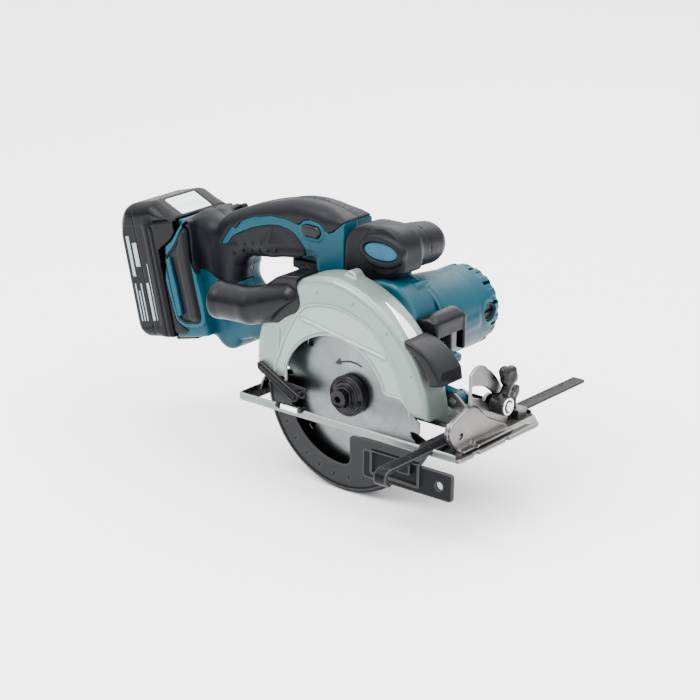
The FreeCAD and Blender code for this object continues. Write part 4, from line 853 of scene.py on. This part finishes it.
def guard_form(x, y, z):
    outline = CROWN(x, z)
    outer = meet(outline, np.abs(y + 0.5) - 15.5, 6.0)
    outer = meet(outer, 17.6 - z)
    bowl = meet(INNER(x, z), np.abs(y + 0.5) - 13.5, 4.5)
    dish = ramp(-PANEL(x, z), -0.8, 2.2)
    outer = outer + np.where(y < 0, dish, 0)
    shell = less(outer, bowl)
    bead = np.sqrt((PANEL(x, z) - 0.2) ** 2 + (y + 15.4) ** 2) - 0.9
    crease = np.sqrt(CREASE(x, z) ** 2 + (y + 15.3) ** 2) - 1.15
    shell = melt(shell, meet(join(bead, crease), 24 - z), 1.2)
    shell = less(shell, slab(WINDOW(x, z), y, -20, 0, 0.3), 0.7)
    lip = slab(np.abs(WINDOW(x, z) - 1.2) - 0.9, y, -16.2, -13.8, 0.6)
    shell = melt(shell, meet(lip, 18.5 - z), 0.8)
    for cx, cz in ((-23.6, 98.3), (11.5, 96.2), (44.4, 79.6), (68.3, 50.5)):
        shell = less(shell, np.sqrt((x - cx) ** 2 + (z - cz) ** 2 + (y + 16.6) ** 2) - 1.7, 0.3)
    lug = peg(x, y, z, (-4, 110.0), 5.6, 0, 11, 1.5)
    shell = melt(shell, meet(lug, -INNER(x, z)), 2.5)
    shell = less(shell, peg(x, y, z, ARBOR, 20, 12, 17))
    return less(shell, slab(np.abs(x + 60.4) - 0.3, y, -18, -14.9) + meet(0, np.abs(z - 53.5) - 8))


def line_field(a, b):
    """Distance in the plane from the segment between two points."""
    def distance(x, z):
        dx, dz = b[0] - a[0], b[1] - a[1]
        t = np.clip(((x - a[0]) * dx + (z - a[1]) * dz) / (dx * dx + dz * dz), 0, 1)
        return np.hypot(x - a[0] - dx * t, z - a[1] - dz * t)
    return distance


CREASE = line_field((-39.5, 73.5), (43.0, 59.6))

guard = grown("upper_guard_shell", guard_form, (-86, -17, 16), (86, 16, 116), 0.8, 0.6)
fit_on(guard, "saw_body", M["paint"], ["upper_guard"])


# painted highlight: a bright metal band where the crown's rounded shoulder catches the light
@piece("upper_guard_rim_highlight", (18, -11, 72), (86, 5, 113), 0.45, 0.6, "saw_body", "silver_paint", "bare")
def rim_highlight_band(x, y, z):
    """A strip of bright bare metal on the top right of the crown's front edge, widening to the right, laid
    where the lit shoulder shows a highlight: a painted highlight.
    """
    outline = CROWN(x, z)
    outer = meet(outline, np.abs(y + 0.5) - 15.5, 6.0)
    band = meet(outer - 0.25, -(outer + 0.5))
    ring = np.abs(y + 1.5) - 0.6 - 4.6 * ramp(x, 30, 58)
    along = meet(32 - x, meet(75.0 - z, x - 83))
    return meet(meet(band, ring), along, 0.4)

HORN = flat([*arc3((60, 78), (80, 70.5), (93.5, 58)), (95, 48.5), *arc3((84, 46), (76, 62), (60, 72))])


@piece("guard_front_horn", (58, -17, 44), (98, 16, 80), 0.7, 0.7, "saw_body", "black_plastic", "black",
       "guard_front_cover")
def horn_form(x, y, z):
    body = slab(HORN(x, z), y, -15.4, 14.5, 2.5)
    bevel = (x - 91.0) * 0.62 - (y + 15.5) * 0.62 + (z - 56) * 0.48
    body = meet(body, bevel, 0.6)
    return less(body, GUARD_OUT(x, z) - 0.35, 0.3)


FOOT = flat(rounded([(-42, 107, 1), (-42, 84, 1), (-61, 64.5, 1), (-86, 60), (-94, 72), (-80, 90),
                     (-62, 104)], 5))


@piece("dust_nozzle_elbow", (-136, -31, 48), (-40, 13, 112), 0.9, 0.6, "saw_body", "black_plastic", "black",
       "dust_nozzle")
def nozzle_form(x, y, z):
    mouth, elbow, inlet = (-126, -13.5, 70.6), (-92, -13.5, 72.6), (-52, -10, 86)
    outer = melt(capsule(x, y, z, mouth, elbow, 15.0), capsule(x, y, z, elbow, inlet, 15.0, 13.4), 1.5)
    foot = slab(FOOT(x, z), y, -17.0, 10, 2.0)
    outer = melt(outer, foot, 3.0)
    end = -((x + 126) * 0.99827 + (z - 70.6) * 0.0587)
    lip = capsule(x, y, z, (-126, -13.5, 70.6), (-123.5, -13.5, 70.8), 15.6)
    outer = melt(outer, meet(lip, end), 1.0)
    outer = meet(outer, end, 1.0)
    hollow = join(capsule(x, y, z, (-150, -13.5, 69), elbow, 12.8),
                  capsule(x, y, z, elbow, (-72, -11, 79), 12.0, 9.0))
    outer = less(outer, hollow, 0.7)
    outer = less(outer, peg(x, y, z, ARBOR, 83.5, -40, -17.05), 0.8)
    return less(outer, slab(GUARD_OUT(x, z) - 0.3, y, -16.15, 30), 0.3)

# ---------------------------------------------------------------- lower guard and blade

NEAR = flat([*arc3((-70, 22), (-66, 38), (-60, 60)), (80, 60), (80, -9.5), (70.2, -9.5), (22, -11), (11, -12),
             *arc3((11, -12), (8.2, -12.8), (6.5, -15)), (6.8, -33.5),
             *arc3((6.8, -34), (3.5, -37), (-0.5, -38)), *arc3((-0.5, -38), (-28, -31), (-49.4, -9)),
             (-57, 17)])
TAB = flat([(-60, 3), (-40, 6), (-37.5, 15), (-60, 16.5)])


@piece("lower_guard_cup", (-79, -13, -62), (80, 13, 40), 0.8, 0.6, "lower_guard_set", "dark_paint", "dark",
       "lower_guard")
def lower_form(x, y, z):
    radial, angle = np.hypot(x, z - ARBOR[1]), np.degrees(np.arctan2(z - ARBOR[1], x))
    swing = join(np.abs(angle + 101), 360 - np.abs(angle + 101)) - 79
    fan = swing * meet(radial, 4) * math.pi / 180
    cup = slab(radial - 77.0, y, -11.5, 11.5, 2.6)
    cup = less(cup, slab(radial - 75.5, y, -10, 10, 1.6))
    window = np.where(y < 0, join(NEAR(x, z), 99), 99)
    cup = less(cup, meet(window, y), 0.4)
    cup = meet(meet(cup, 15.7 - radial), fan, 0.5)
    hub = slab(meet(radial - 21, 15.7 - radial), y, 10, 11.5, 0.4)
    tab = slab(TAB(x, z), y, -11.5, -10, 0.4)
    bead = np.sqrt((radial - 74.0) ** 2 + (y + 11.5) ** 2) - 0.8
    cup = melt(cup, meet(bead, fan + 2), 0.8)
    marks = np.mod(angle, 13.0) - 6.5
    notch = meet(np.abs(marks * radial * math.pi / 180) - 0.9, np.abs(radial - 65.5) - 1.6)
    cup = less(cup, meet(notch, np.abs(y + 12) - 1.1), 0.2)
    return join(cup, hub, tab)

LEVER = flat(rounded([(-78, 31.5), (-80.5, 25), (-42, 4.5), (-37.5, 11.5)], 2.0))


@piece("guard_lever_bar", (-82, -24, 3), (-36, -10, 33), 0.5, 0.6, "lower_guard_set", "dark_paint", "dark",
       "guard_lever")
def guard_lever_form(x, y, z):
    plate = slab(LEVER(x, z), y, -20.4, -17.2, 0.6)
    ridge = slab(LEVER(x, z) + 2.4, y, -20.75, -18, 0.5)
    turned = capsule(x, y, z, (-79, -19.0, 28.5), (-79, -16.8, 28.5), 1.75)
    return join(melt(plate, turned, 1.5), ridge, box(x, y, z, (-44.5, -18, 8.5), (-39, -11.2, 13.5), 0.8))

BLADE = []
for tooth in range(24):
    tip = math.radians(15.0 * tooth)
    for share, radius in ((0, 68.0), (0.04, 67.9), (0.52, 66.0), (0.60, 63.6), (0.68, 61.0), (0.80, 59.4),
                          (0.90, 60.6), (0.95, 62.6)):
        a = tip + math.radians(15.0 * share)
        BLADE.append((radius * math.cos(a), ARBOR[1] + radius * math.sin(a)))
BLADE = flat(BLADE)
HOLES = [(53 * math.cos(math.radians(a)), ARBOR[1] + 53 * math.sin(math.radians(a)))
         for a in (142.0, 222.0, 322.0, 52.0)]


@piece("saw_blade_toothed", (-69, -1, -52), (69, 1, 86), 0.45, 0.35, "blade_set", "blade_steel", "blade",
       "saw_blade")
def blade_form(x, y, z):
    radial = np.hypot(x, z - ARBOR[1])
    plate = slab(BLADE(x, z), y, -0.62, 0.62, 0.15)
    cutting = meet(BLADE(x, z), 64.2 - radial)
    tips = meet(cutting, np.abs(y) - 0.8)
    body = join(plate, tips)
    body = meet(body, 10.05 - radial)
    for hole in HOLES:
        body = meet(body, -disc(x, z, hole, 2.6))
    return body


HEAD = flat([(-12.2, 44.4), (-17.2, 38.2), (-10.4, 38.4)])


@piece("blade_turn_arrow", (-18, -1, 36), (14, 0, 46), 0.35, 0.6, "blade_set", "blade_steel", "gloss")
def arrow_form(x, y, z):
    radial, angle = np.hypot(x, z - ARBOR[1]), np.degrees(np.arctan2(z - ARBOR[1], x))
    sweep = meet(np.abs(radial - 26.0) - 0.75, np.abs(angle - 96) * 26 * math.pi / 180 - 12.5)
    return slab(join(sweep, HEAD(x, z)), y, -0.78, -0.5, 0.05)


@piece("outer_flange_turned", (-17, -14, 0), (17, 0, 34), 0.5, 0.7, "blade_set", "dark_paint", "gloss",
       "outer_flange")
def flange_form(x, y, z):
    radial = np.hypot(x, z - ARBOR[1])
    body = slab(radial - 16.4 + 0.10 * (y + 6.0) * (y < -6.0), y, -8.6, -0.85, 1.6)
    body = melt(body, slab(radial - 12.0, y, -10.2, -3, 0.8), 1.0)
    body = melt(body, slab(radial - 9.0, y, -13.0, -4, 0.6), 0.8)
    groove = np.sqrt((radial - 14.2) ** 2 + (y + 8.6) ** 2) - 0.6
    body = less(body, groove, 0.3)
    flats = np.abs(x) - 7.8
    body = np.where(y < -10.4, meet(body, flats, 0.5), body)
    return meet(body, 3.2 - radial)


@piece("blade_bolt_socket", (-8, -20, 9), (8, 18, 25), 0.4, 0.7, "blade_set", "dark_paint", "gloss",
       "blade_bolt")
def bolt_form(x, y, z):
    radial, turn = np.hypot(x, z - ARBOR[1]), np.arctan2(z - ARBOR[1], x)
    head = slab(radial - 7.4 + 0.12 * (np.cos(turn * 36) > 0), y, -18.7, -13.05, 0.9)
    shank = slab(radial - 3.0, y, -14, 17, 0.4)
    step = math.pi / 3
    k = np.mod(turn, step) - step / 2
    socket = meet(radial * np.cos(k) - 2.6, y + 15.0)
    return join(less(head, socket, 0.35), shank)

# ---------------------------------------------------------------- battery pack, in its own upright axes

PACK_SIDE = flat([
    *arc3((0, 12), (3.4, 3.6), (12, 0)), (34, -1), (40.0, -1), (40.0, 93.5), (58.8, 93.5), (60.2, 96.2),
    (58.8, 98.0),
    (40.5, 111.2), (37.5, 112), *arc3((15, 111.5), (4.6, 107), (0, 96)),
])


def pack_form(u, y, w):
    r = 6.0 - 3.5 * ramp(u, 20, 32) * (1 - ramp(w, 84, 100)) + 6.0 * ramp(w, 84, 104)
    body = meet(PACK_SIDE(u, w), np.abs(y - MIDDLE) - 37.5, r)
    body = join(body, slab(PACK_CHEEK(u, w), np.abs(y - MIDDLE), 29.8, 36.8, 1.0))
    body = join(body, box(u, y, w, (34, 9.2, -4.5), (58.5, 66.8, 96), 1.0))
    for edge, depth in ((33.2, 0.8), (38.4, 1.0)):
        groove = np.hypot(u - edge, (np.abs(y - MIDDLE) - 37.5)) - depth
        body = less(body, meet(groove, w - 96), 0.3)
    body = less(body, slab(LABEL(u, w), np.abs(y - MIDDLE), 37.1, 40, 0.1), 0.25)
    return less(body, slab(BUTTON_ROOM(u, w), y, 19.5, 56.5, 1.5), 0.6)


PACK_CHEEK = flat([(37, 62), (37, 94.5), (60, 95.5), (67, 95), (68.6, 92.8), (61.8, 86.2), (56.6, 80.9),
                   (41.6, 73.2),
                   (40.6, 72.4), (40.6, 62)])
LABEL = flat(rounded([(3.5, 8), (3.5, 94), (28.5, 94), (28.5, 8)], 4))


def on_slant(along, deep):
    return 38.5 + 0.8 * along - 0.6 * deep, 112.0 - 0.6 * along - 0.8 * deep


BUTTON_ROOM = flat([on_slant(2.1, -4), on_slant(24.4, -4), on_slant(24.4, 6.5), on_slant(2.1, 6.5)])
BUTTON = flat([on_slant(2.6, -0.5), on_slant(23.9, -0.5), on_slant(23.9, 3.9), on_slant(2.6, 3.9)])


def pack_half(rear):
    def field(u, y, w):
        body = pack_form(u, y, w)
        room = join(box(u, y, w, (2.4, 2.9, 3.2), (36, 73, 104), 2),
                    box(u, y, w, (33, 12, 3), (48.5, 64, 92), 1))
        body = less(body, meet(room, body + 2.0))
        for gap in ((50, 25.5, -6, 62, 29.7, 52), (50, 46.3, -6, 62, 50.5, 52), (58.2, 21, -6, 62, 55, 58)):
            body = less(body, box(u, y, w, gap[:3], gap[3:], 0.2))
        return meet(body, (u - 19.0) * (1 if rear else -1))
    return field


fit_on(grown("battery_case_rear_half", pack_half(True), (-1, 0, -2), (19, 76, 113), 0.9, 0.6, PACK_PLACE),
       "battery",
       M["case"], ["battery_case_rear"])
fit_on(grown("battery_case_front_half", pack_half(False), (19, 0, -6), (61, 76, 113), 0.9, 0.6, PACK_PLACE),
       "battery",
       M["case"], ["battery_case_front"])


@piece("battery_release_button", (37, 19, 92), (61, 57, 113), 0.5, 0.6, "battery_release", "pale_plastic",
       "pale", "battery_button", place=PACK_PLACE)
def release_form(u, y, w):
    along = (u - 38.5) * 0.8 - (w - 112) * 0.6
    top = slab(BUTTON(u, w), y, 20, 56, 1.2)
    grooves = np.hypot(np.mod(along, 3.2) - 1.6, (u - 38.5) * 0.6 + (w - 112) * 0.8 - 0.5) - 0.35
    return less(top, meet(grooves, meet(np.abs(y - MIDDLE) - 14, np.abs(along - 18) - 4)), 0.15)


@piece("battery_label_bars", (6, 0, 12), (27, 2, 88), 0.4, 0.5, "battery", "pale_plastic", "print",
       place=PACK_PLACE)
def label_print(u, y, w):
    """Plain bars and a rule printed on the side label."""
    bars = []
    for u0, u1, w0, w1 in ((7.0, 10.4, 52, 86), (12.8, 17.6, 60, 80), (20.2, 23.0, 14, 46),
                           (7.0, 8.4, 14, 46),
                           (10.2, 11.6, 14, 40), (13.4, 14.8, 14, 46), (25.0, 25.7, 14, 62)):
        bars.append(slab(meet(np.abs(u - (u0 + u1) / 2) - (u1 - u0) / 2,
                              np.abs(w - (w0 + w1) / 2) - (w1 - w0) / 2),
                         np.abs(y - MIDDLE), 36.9, 37.35, 0.1))
    return meet(join(*bars), y - 20)

# ---------------------------------------------------------------- base plate

BASE = flat(rounded([(-89.5, -33, 5), (88, -33), (124, -31.2, 4), (126, -29, 3), (126, 72, 4), (112, 86, 6),
                     (-81.5, 86),
                     (-89.5, 78, 5)], 3))
SLOT = flat(rounded([(-79.5, -27), (80, -27), (80, 22.8), (36, 22.8, 2), (36, 40), (-20, 40), (-20, 22.8, 2),
                     (-79.5, 22.8)], 4))


def base_form(x, y, z):
    outline = BASE(x, y)
    body = slab(outline, z, 0, 6.5, 1.6)
    tray = box(x, y, z, (-88, -31.2, 2), (112, 84, 12), 2.2)
    body = less(body, tray, 0.6)
    body = less(body, meet(110 - x, 2.6 - z + 0.16 * meet(118 - x, 0)), 1.0)
    roll = np.sqrt((x - 124.3) ** 2 + (z - 1.7) ** 2) - 1.7
    body = melt(body, meet(roll, outline, 0.3), 1.0)
    slot = np.abs(x - 119.5) - 1.1
    slot = meet(slot, meet(-20 - y, y - 66))
    body = less(body, meet(slot, 1.3 - z), 0.4)
    for y0, y1 in ((-12, -5), (28, 33)):
        body = less(body, box(x, y, z, (123.6, y0, -2), (130, y1, 8), 0.6), 0.3)
    body = less(body, slab(SLOT(x, y), z, -3, 12), 0.5)
    lip = meet(np.abs(SLOT(x, y) - 1.0) - 1.0, meet(z - 4.4, 0.2 - z))
    body = melt(body, meet(lip, x - 78), 0.8)
    body = less(body, box(x, y, z, (89.5, -40, 2), (102, -30, 8.2), 0.3), 0.3)
    body = less(body, box(x, y, z, (89.5, 82, 2), (102, 92, 8.2), 0.3), 0.3)
    body = less(body, box(x, y, z, (-50.5, -40, 3.0), (-45.5, -31, 10), 0.5), 0.3)
    for bump_x in (-60, -10, 40):
        body = melt(body, box(x, y, z, (bump_x - 12, 60, 1.4), (bump_x + 12, 64, 3.2), 1.0), 1.2)
    return meet(body, -z)


base = grown("base_plate_pressed", base_form, (-90, -34, 0), (127, 87, 7), 0.7, 0.6)
fit_on(base, "base", M["plate"], ["base_plate"])


@piece("base_rail_ruler", (-90, -34, 0), (123, -30, 7.2), 0.45, 0.6, "base", "plate_steel", "rail")
def rail_form(x, y, z):
    """The near rim with its ruler marks, in a duller grey than the plate."""
    outline = BASE(x, y)
    skin = meet(slab(outline, z, 0.2, 6.5, 1.6) - 0.15, -(outline + 2.0))
    skin = meet(skin, y + 30.6)
    marks = meet(np.abs(np.mod(x, 5.0) - 2.5) - 0.3, meet(4.2 - z + 1.5 * (np.mod(x, 25.0) > 20), y + 32.9))
    skin = less(skin, marks)
    skin = less(skin, box(x, y, z, (89.5, -40, 2), (102, -30, 8.2), 0.3), 0.3)
    skin = less(skin, box(x, y, z, (-50.5, -40, 3.0), (-45.5, -31, 10), 0.5), 0.3)
    return meet(skin, x - 122)


@piece("rail_bright_tab", (-46, -35, 3), (-27, -29, 8), 0.45, 0.7, "base", "plate_steel", "bare")
def sight_form(x, y, z):
    return box(x, y, z, (-45, -33.9, 3.4), (-28, -29.8, 7.6), 0.5)
fit_on(grown("rail_pin", lambda x, y, z: join(capsule(x, y, z, (-24.5, -34.6, 6.6), (-24.5, -29.6, 6.6), 2.1),
                                              capsule(x, y, z, (-48, -34.0, 5.6), (-48, -30.4, 5.6), 1.5)),
             (-51, -37.5, 3), (-22, -28, 10), 0.5, 0.8), "base", M["lever"])

QUAD = flat([(-16, 2.05), (46, 2.05), (50, 10), *arc3((43.6, 31), (35, 46), (22, 57.6)),
             *arc3((22, 57.6), (10, 62.4), (1, 57)), (1, 33.5), (-6, 33.5),
             *arc3((-25, 26.5), (-28, 19), (-24, 11))])
QUAD_SLOT = flat([*arc3((28.6, 22.0), (20, 31.8), (1.9, 38.4)), *arc3((2.4, 48.4), (22, 42.4), (37.2, 27.0))])
SKIRT = flat(rounded([(-16, 2.05, 2), (46, 2.05, 2), (46, 7), (20, 20), (6, 33, 5), (-6, 33.8, 4),
                      (-25, 26.5, 4),
                      (-28, 19, 4), (-24, 10, 3)], 3))


@piece("bevel_quadrant_plate", (107, -30, 1), (121, 52, 65), 0.6, 0.6, "base", "plate_steel", "plate",
       "bevel_quadrant")
def quad_form(x, y, z):
    plate = slab(QUAD(y, z), x, 109, 112, 0.6)
    skirt = slab(SKIRT(y, z), x, 109, 114.2, 1.0)
    foot = box(x, y, z, (109, -17, 2.0), (120, 47, 4.6), 1.0)
    plate = less(plate, slab(QUAD_SLOT(y, z), x, 100, 120), 0.4)
    plate = melt(join(plate, skirt), foot, 2.6)
    plate = less(plate, slab(disc(y, z, (-13, 14), 2.6), x, 100, 120), 0.6)
    return less(plate, np.hypot(y, z - BEVEL_Z) - 2.55, 0.3)


@piece("bevel_lever_moulded", (102, 11, 19), (127, 52, 62), 0.6, 0.6, "bevel_clamp", "lever_black", "lever",
       "bevel_lever")
def lever_form(x, y, z):
    hub = slab(disc(y, z, CLAMP, 0) - 7.6, x, 112.4, 125.4, 0.8)
    collar = slab(disc(y, z, CLAMP, 0) - 2.45, x, 103, 122, 0.3)
    neck = capsule(x, y, z, (117.0, 34, 31), (118, 43, 46), 3.6, 3.8)
    pad = box(x, y, z, (113.2, 33, 42.5), (121.5, 48.5, 55.5), 3.6)
    pad = melt(pad, capsule(x, y, z, (117, 36.5, 52.5), (117, 45, 47), 4.6), 2.0)
    return join(melt(melt(hub, neck, 3.0), pad, 4.0), collar)


@piece("bevel_lever_washer", (123, 22, 20), (128, 39, 37), 0.4, 0.7, "bevel_clamp", "bright_steel", "steel")
def ring_form(x, y, z):
    radial = disc(y, z, CLAMP, 0)
    ring = slab(np.abs(radial - 5.9) - 0.75, x, 124.4, 126.0, 0.3)
    head = slab(radial - 3.6, x, 124.0, 127.4, 0.7)
    return join(ring, less(head, slab(np.abs(y - CLAMP[0] + 0.4 * (z - CLAMP[1])) - 0.5, x, 126.5, 130), 0.2))

# ---------------------------------------------------------------- fence

@piece("fence_guide_bar", (89, -90, -10), (103, 173, 6), 0.6, 0.6, "fence", "black_steel", "bar", "fence_bar")
def bar_form(x, y, z):
    strip = box(x, y, z, (90.2, -82, 2.4), (101.4, 172, 5.2), 0.7)
    curl = slab(disc(y, z, (-81.5, -1.6), 6.8), x, 90.2, 101.4, 0.7)
    curl = less(curl, slab(disc(y, z, (-81.5, -1.6), 4.0), x, 80, 110))
    curl = meet(curl, y + 81.0)
    curl = meet(curl, -9.0 - z)
    marks = meet(np.abs(np.mod(y, 5.0) - 2.5) - 0.3, meet(4.75 - z, x - 94.5 - 2.0 * (np.mod(y, 25.0) > 20)))
    return less(melt(strip, curl, 0.8), marks)


FENCE = flat(rounded([(55, 2.3, 1.5), (55, -19.5, 3), (138, -19.5, 4), (138, 2.3, 3)], 2))
FENCE_RIB = flat(rounded([(64, 4), (64, -14), (108, -14), (108, 4)], 1.5))


@piece("fence_face_plate", (54, -61, -20.5), (139, -52, 3.5), 0.6, 0.6, "fence", "dark_paint", "bar",
       "fence_plate")
def fence_form(x, y, z):
    plate = slab(FENCE(x, z), y, -56, -53, 0.6)
    frame_rib = slab(np.abs(FENCE_RIB(x, z)) - 1.2, y, -58, -55, 0.6)
    frame_rib = meet(frame_rib, -(z + 18))
    riser = box(x, y, z, (90.0, -60, -6), (101.5, -53, 2.4), 1.0)
    body = join(melt(plate, frame_rib, 0.8), riser)
    return less(body, np.hypot(x - 126, z + 9) - 3.2, 0.4)


WING = flat(spline([(72, 12), (66.6, 17), (66.2, 23), (71, 24.4), (76, 19.5), (81, 24.4), (85.8, 23),
                    (85.4, 17), (80, 12)]))


@piece("fence_wing_screw", (90, 65, 5), (102, 87, 25), 0.5, 0.7, "fence_clamp_screw", "lever_black",
       "lever", "fence_screw")
def wing_form(x, y, z):
    shank = slab(disc(x, y, FENCE_SCREW, 0) - 2.45, z, 5.5, 20, 0.3)
    collar = slab(disc(x, y, FENCE_SCREW, 0) - 4.6, z, 9.4, 15.2, 0.8)
    wing = slab(WING(y, z), x, 93.7, 97.8, 1.6)
    return melt(join(shank, collar), wing, 1.6)

# ---------------------------------------------------------------- finishes of the CAD nodes that stay

KEPT = {
    "housing_screws": "steel", "guard_screws": "steel", "guard_spring": "steel", "gearbox_bearings": "steel",
    "motor_bearings": "steel", "motor_can": "core", "field_magnets": "core", "carbon_brushes": "core",
    "switch_module": "black", "controller_board": "board", "terminal_block": "black", "spindle": "steel",
    "inner_flange": "steel", "arbor_gear": "steel", "idler_shaft": "steel", "idler_gear": "steel",
    "motor_shaft": "steel", "armature_core": "core", "commutator": "copper", "cooling_fan": "fan",
    "shaft_lock_button": "steel", "battery_cells": "cells", "front_bracket": "plate", "depth_guide": "bar",
    "pivot_pins": "steel", "depth_lever": "lever", "rear_bevel_post": "plate", "fence_clamp": "plate",
}
for name, finish in KEPT.items():
    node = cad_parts[name]
    node.data.materials.clear()
    node.data.materials.append(M[finish])
    for label, kind, values in (("weld", "WELD", {"merge_threshold": 0.00002}),
                                  ("soften", "BEVEL", {"width": 0.0004, "segments": 2,
                                                       "limit_method": "ANGLE",
                                                       "angle_limit": math.radians(40),
                                                       "use_clamp_overlap": True})):
        mod = node.modifiers.new(label, kind)
        for key, value in values.items():
            setattr(mod, key, value)
    node.data.polygons.foreach_set("use_smooth", np.zeros(len(node.data.polygons), bool))

# ---------------------------------------------------------------- floor, light and camera

def plain(name, colour, rough):
    n = Nodes(name)
    cloud = n.noise(3.0, 2.0)
    return n.finish(n.mix(n.scale(cloud, 0.3, 0.7, 0.0, 1.0), shade(colour, 0.995), colour),
                    n.scale(cloud, 0.3, 0.7, rough, rough + 0.03))


FLOOR_Z = cad_low.z - 0.0005
floor_mesh = bpy.data.meshes.new("floor")
FLOOR_HALF = 6.0
floor_mesh.from_pydata([(a * FLOOR_HALF, b * FLOOR_HALF, FLOOR_Z)
                        for a, b in ((-1, -1), (1, -1), (1, 1), (-1, 1))],
                       [], [(0, 1, 2, 3)])
floor = bpy.data.objects.new("floor", floor_mesh)
bpy.context.scene.collection.objects.link(floor)
floor.data.materials.append(plain("pale_floor", (0.97, 0.97, 0.97), 0.75))


def lamp(name, at, towards, power, size_x, size_y):
    light = bpy.data.lights.new(name, "AREA")
    light.shape, light.size, light.size_y, light.energy = "RECTANGLE", size_x, size_y, power
    obj = bpy.data.objects.new(name, light)
    bpy.context.scene.collection.objects.link(obj)
    obj.location = at
    obj.rotation_euler = (Vector(towards) - Vector(at)).to_track_quat("-Z", "Y").to_euler()


lamp("key", (-0.5, -0.9, 1.3), (-0.05, 0, 0.05), 24.0, 0.7, 0.7)
lamp("top", (0.1, 0.3, 1.5), (0, 0.05, 0.05), 14.0, 1.4, 1.0)
lamp("side", (1.5, -0.5, 0.7), (0, 0, 0.05), 9.0, 0.8, 1.0)
lamp("back", (-0.6, 1.5, 0.9), (0, 0, 0.08), 8.0, 1.2, 0.8)

SKY_LOW, SKY_HIGH = 0.25, 4.6
world = bpy.data.worlds.new("studio")
bpy.context.scene.world = world
world.use_nodes = True
sky = world.node_tree
direction = sky.nodes.new("ShaderNodeTexCoord")
height = sky.nodes.new("ShaderNodeSeparateXYZ")
sky.links.new(direction.outputs["Generated"], height.inputs[0])
lift = sky.nodes.new("ShaderNodeMapRange")
sky.links.new(height.outputs[2], lift.inputs["Value"])
for socket, number in zip(("From Min", "From Max", "To Min", "To Max"), (0.05, 0.85, SKY_LOW, SKY_HIGH)):
    lift.inputs[socket].default_value = number
sky.nodes["Background"].inputs[0].default_value = (1.0, 1.0, 1.0, 1.0)
sky.links.new(lift.outputs[0], sky.nodes["Background"].inputs[1])

TURN, DROP, ROLL = math.radians(38.6), math.radians(19.3), math.radians(0.7)
DISTANCE, LENS = 1.857, 123.43
AIM_RIGHT, AIM_UP = -0.0020, 0.0338
level = Vector((math.cos(TURN), math.sin(TURN), 0))
ahead = Vector((-math.sin(TURN) * math.cos(DROP), math.cos(TURN) * math.cos(DROP), -math.sin(DROP)))
upright = level.cross(ahead)
right = level * math.cos(ROLL) + upright * math.sin(ROLL)
up = upright * math.cos(ROLL) - level * math.sin(ROLL)
camera = bpy.data.cameras.new("camera")
camera.sensor_width = 36.0
camera.lens = LENS
eye = bpy.data.objects.new("camera", camera)
bpy.context.scene.collection.objects.link(eye)
at = Vector((0, 0, ARBOR[1] * MM)) + right * AIM_RIGHT + up * AIM_UP - ahead * DISTANCE
eye.matrix_world = Matrix(((right.x, up.x, -ahead.x, at.x), (right.y, up.y, -ahead.y, at.y),
                           (right.z, up.z, -ahead.z, at.z), (0, 0, 0, 1)))
bpy.context.scene.camera = eye
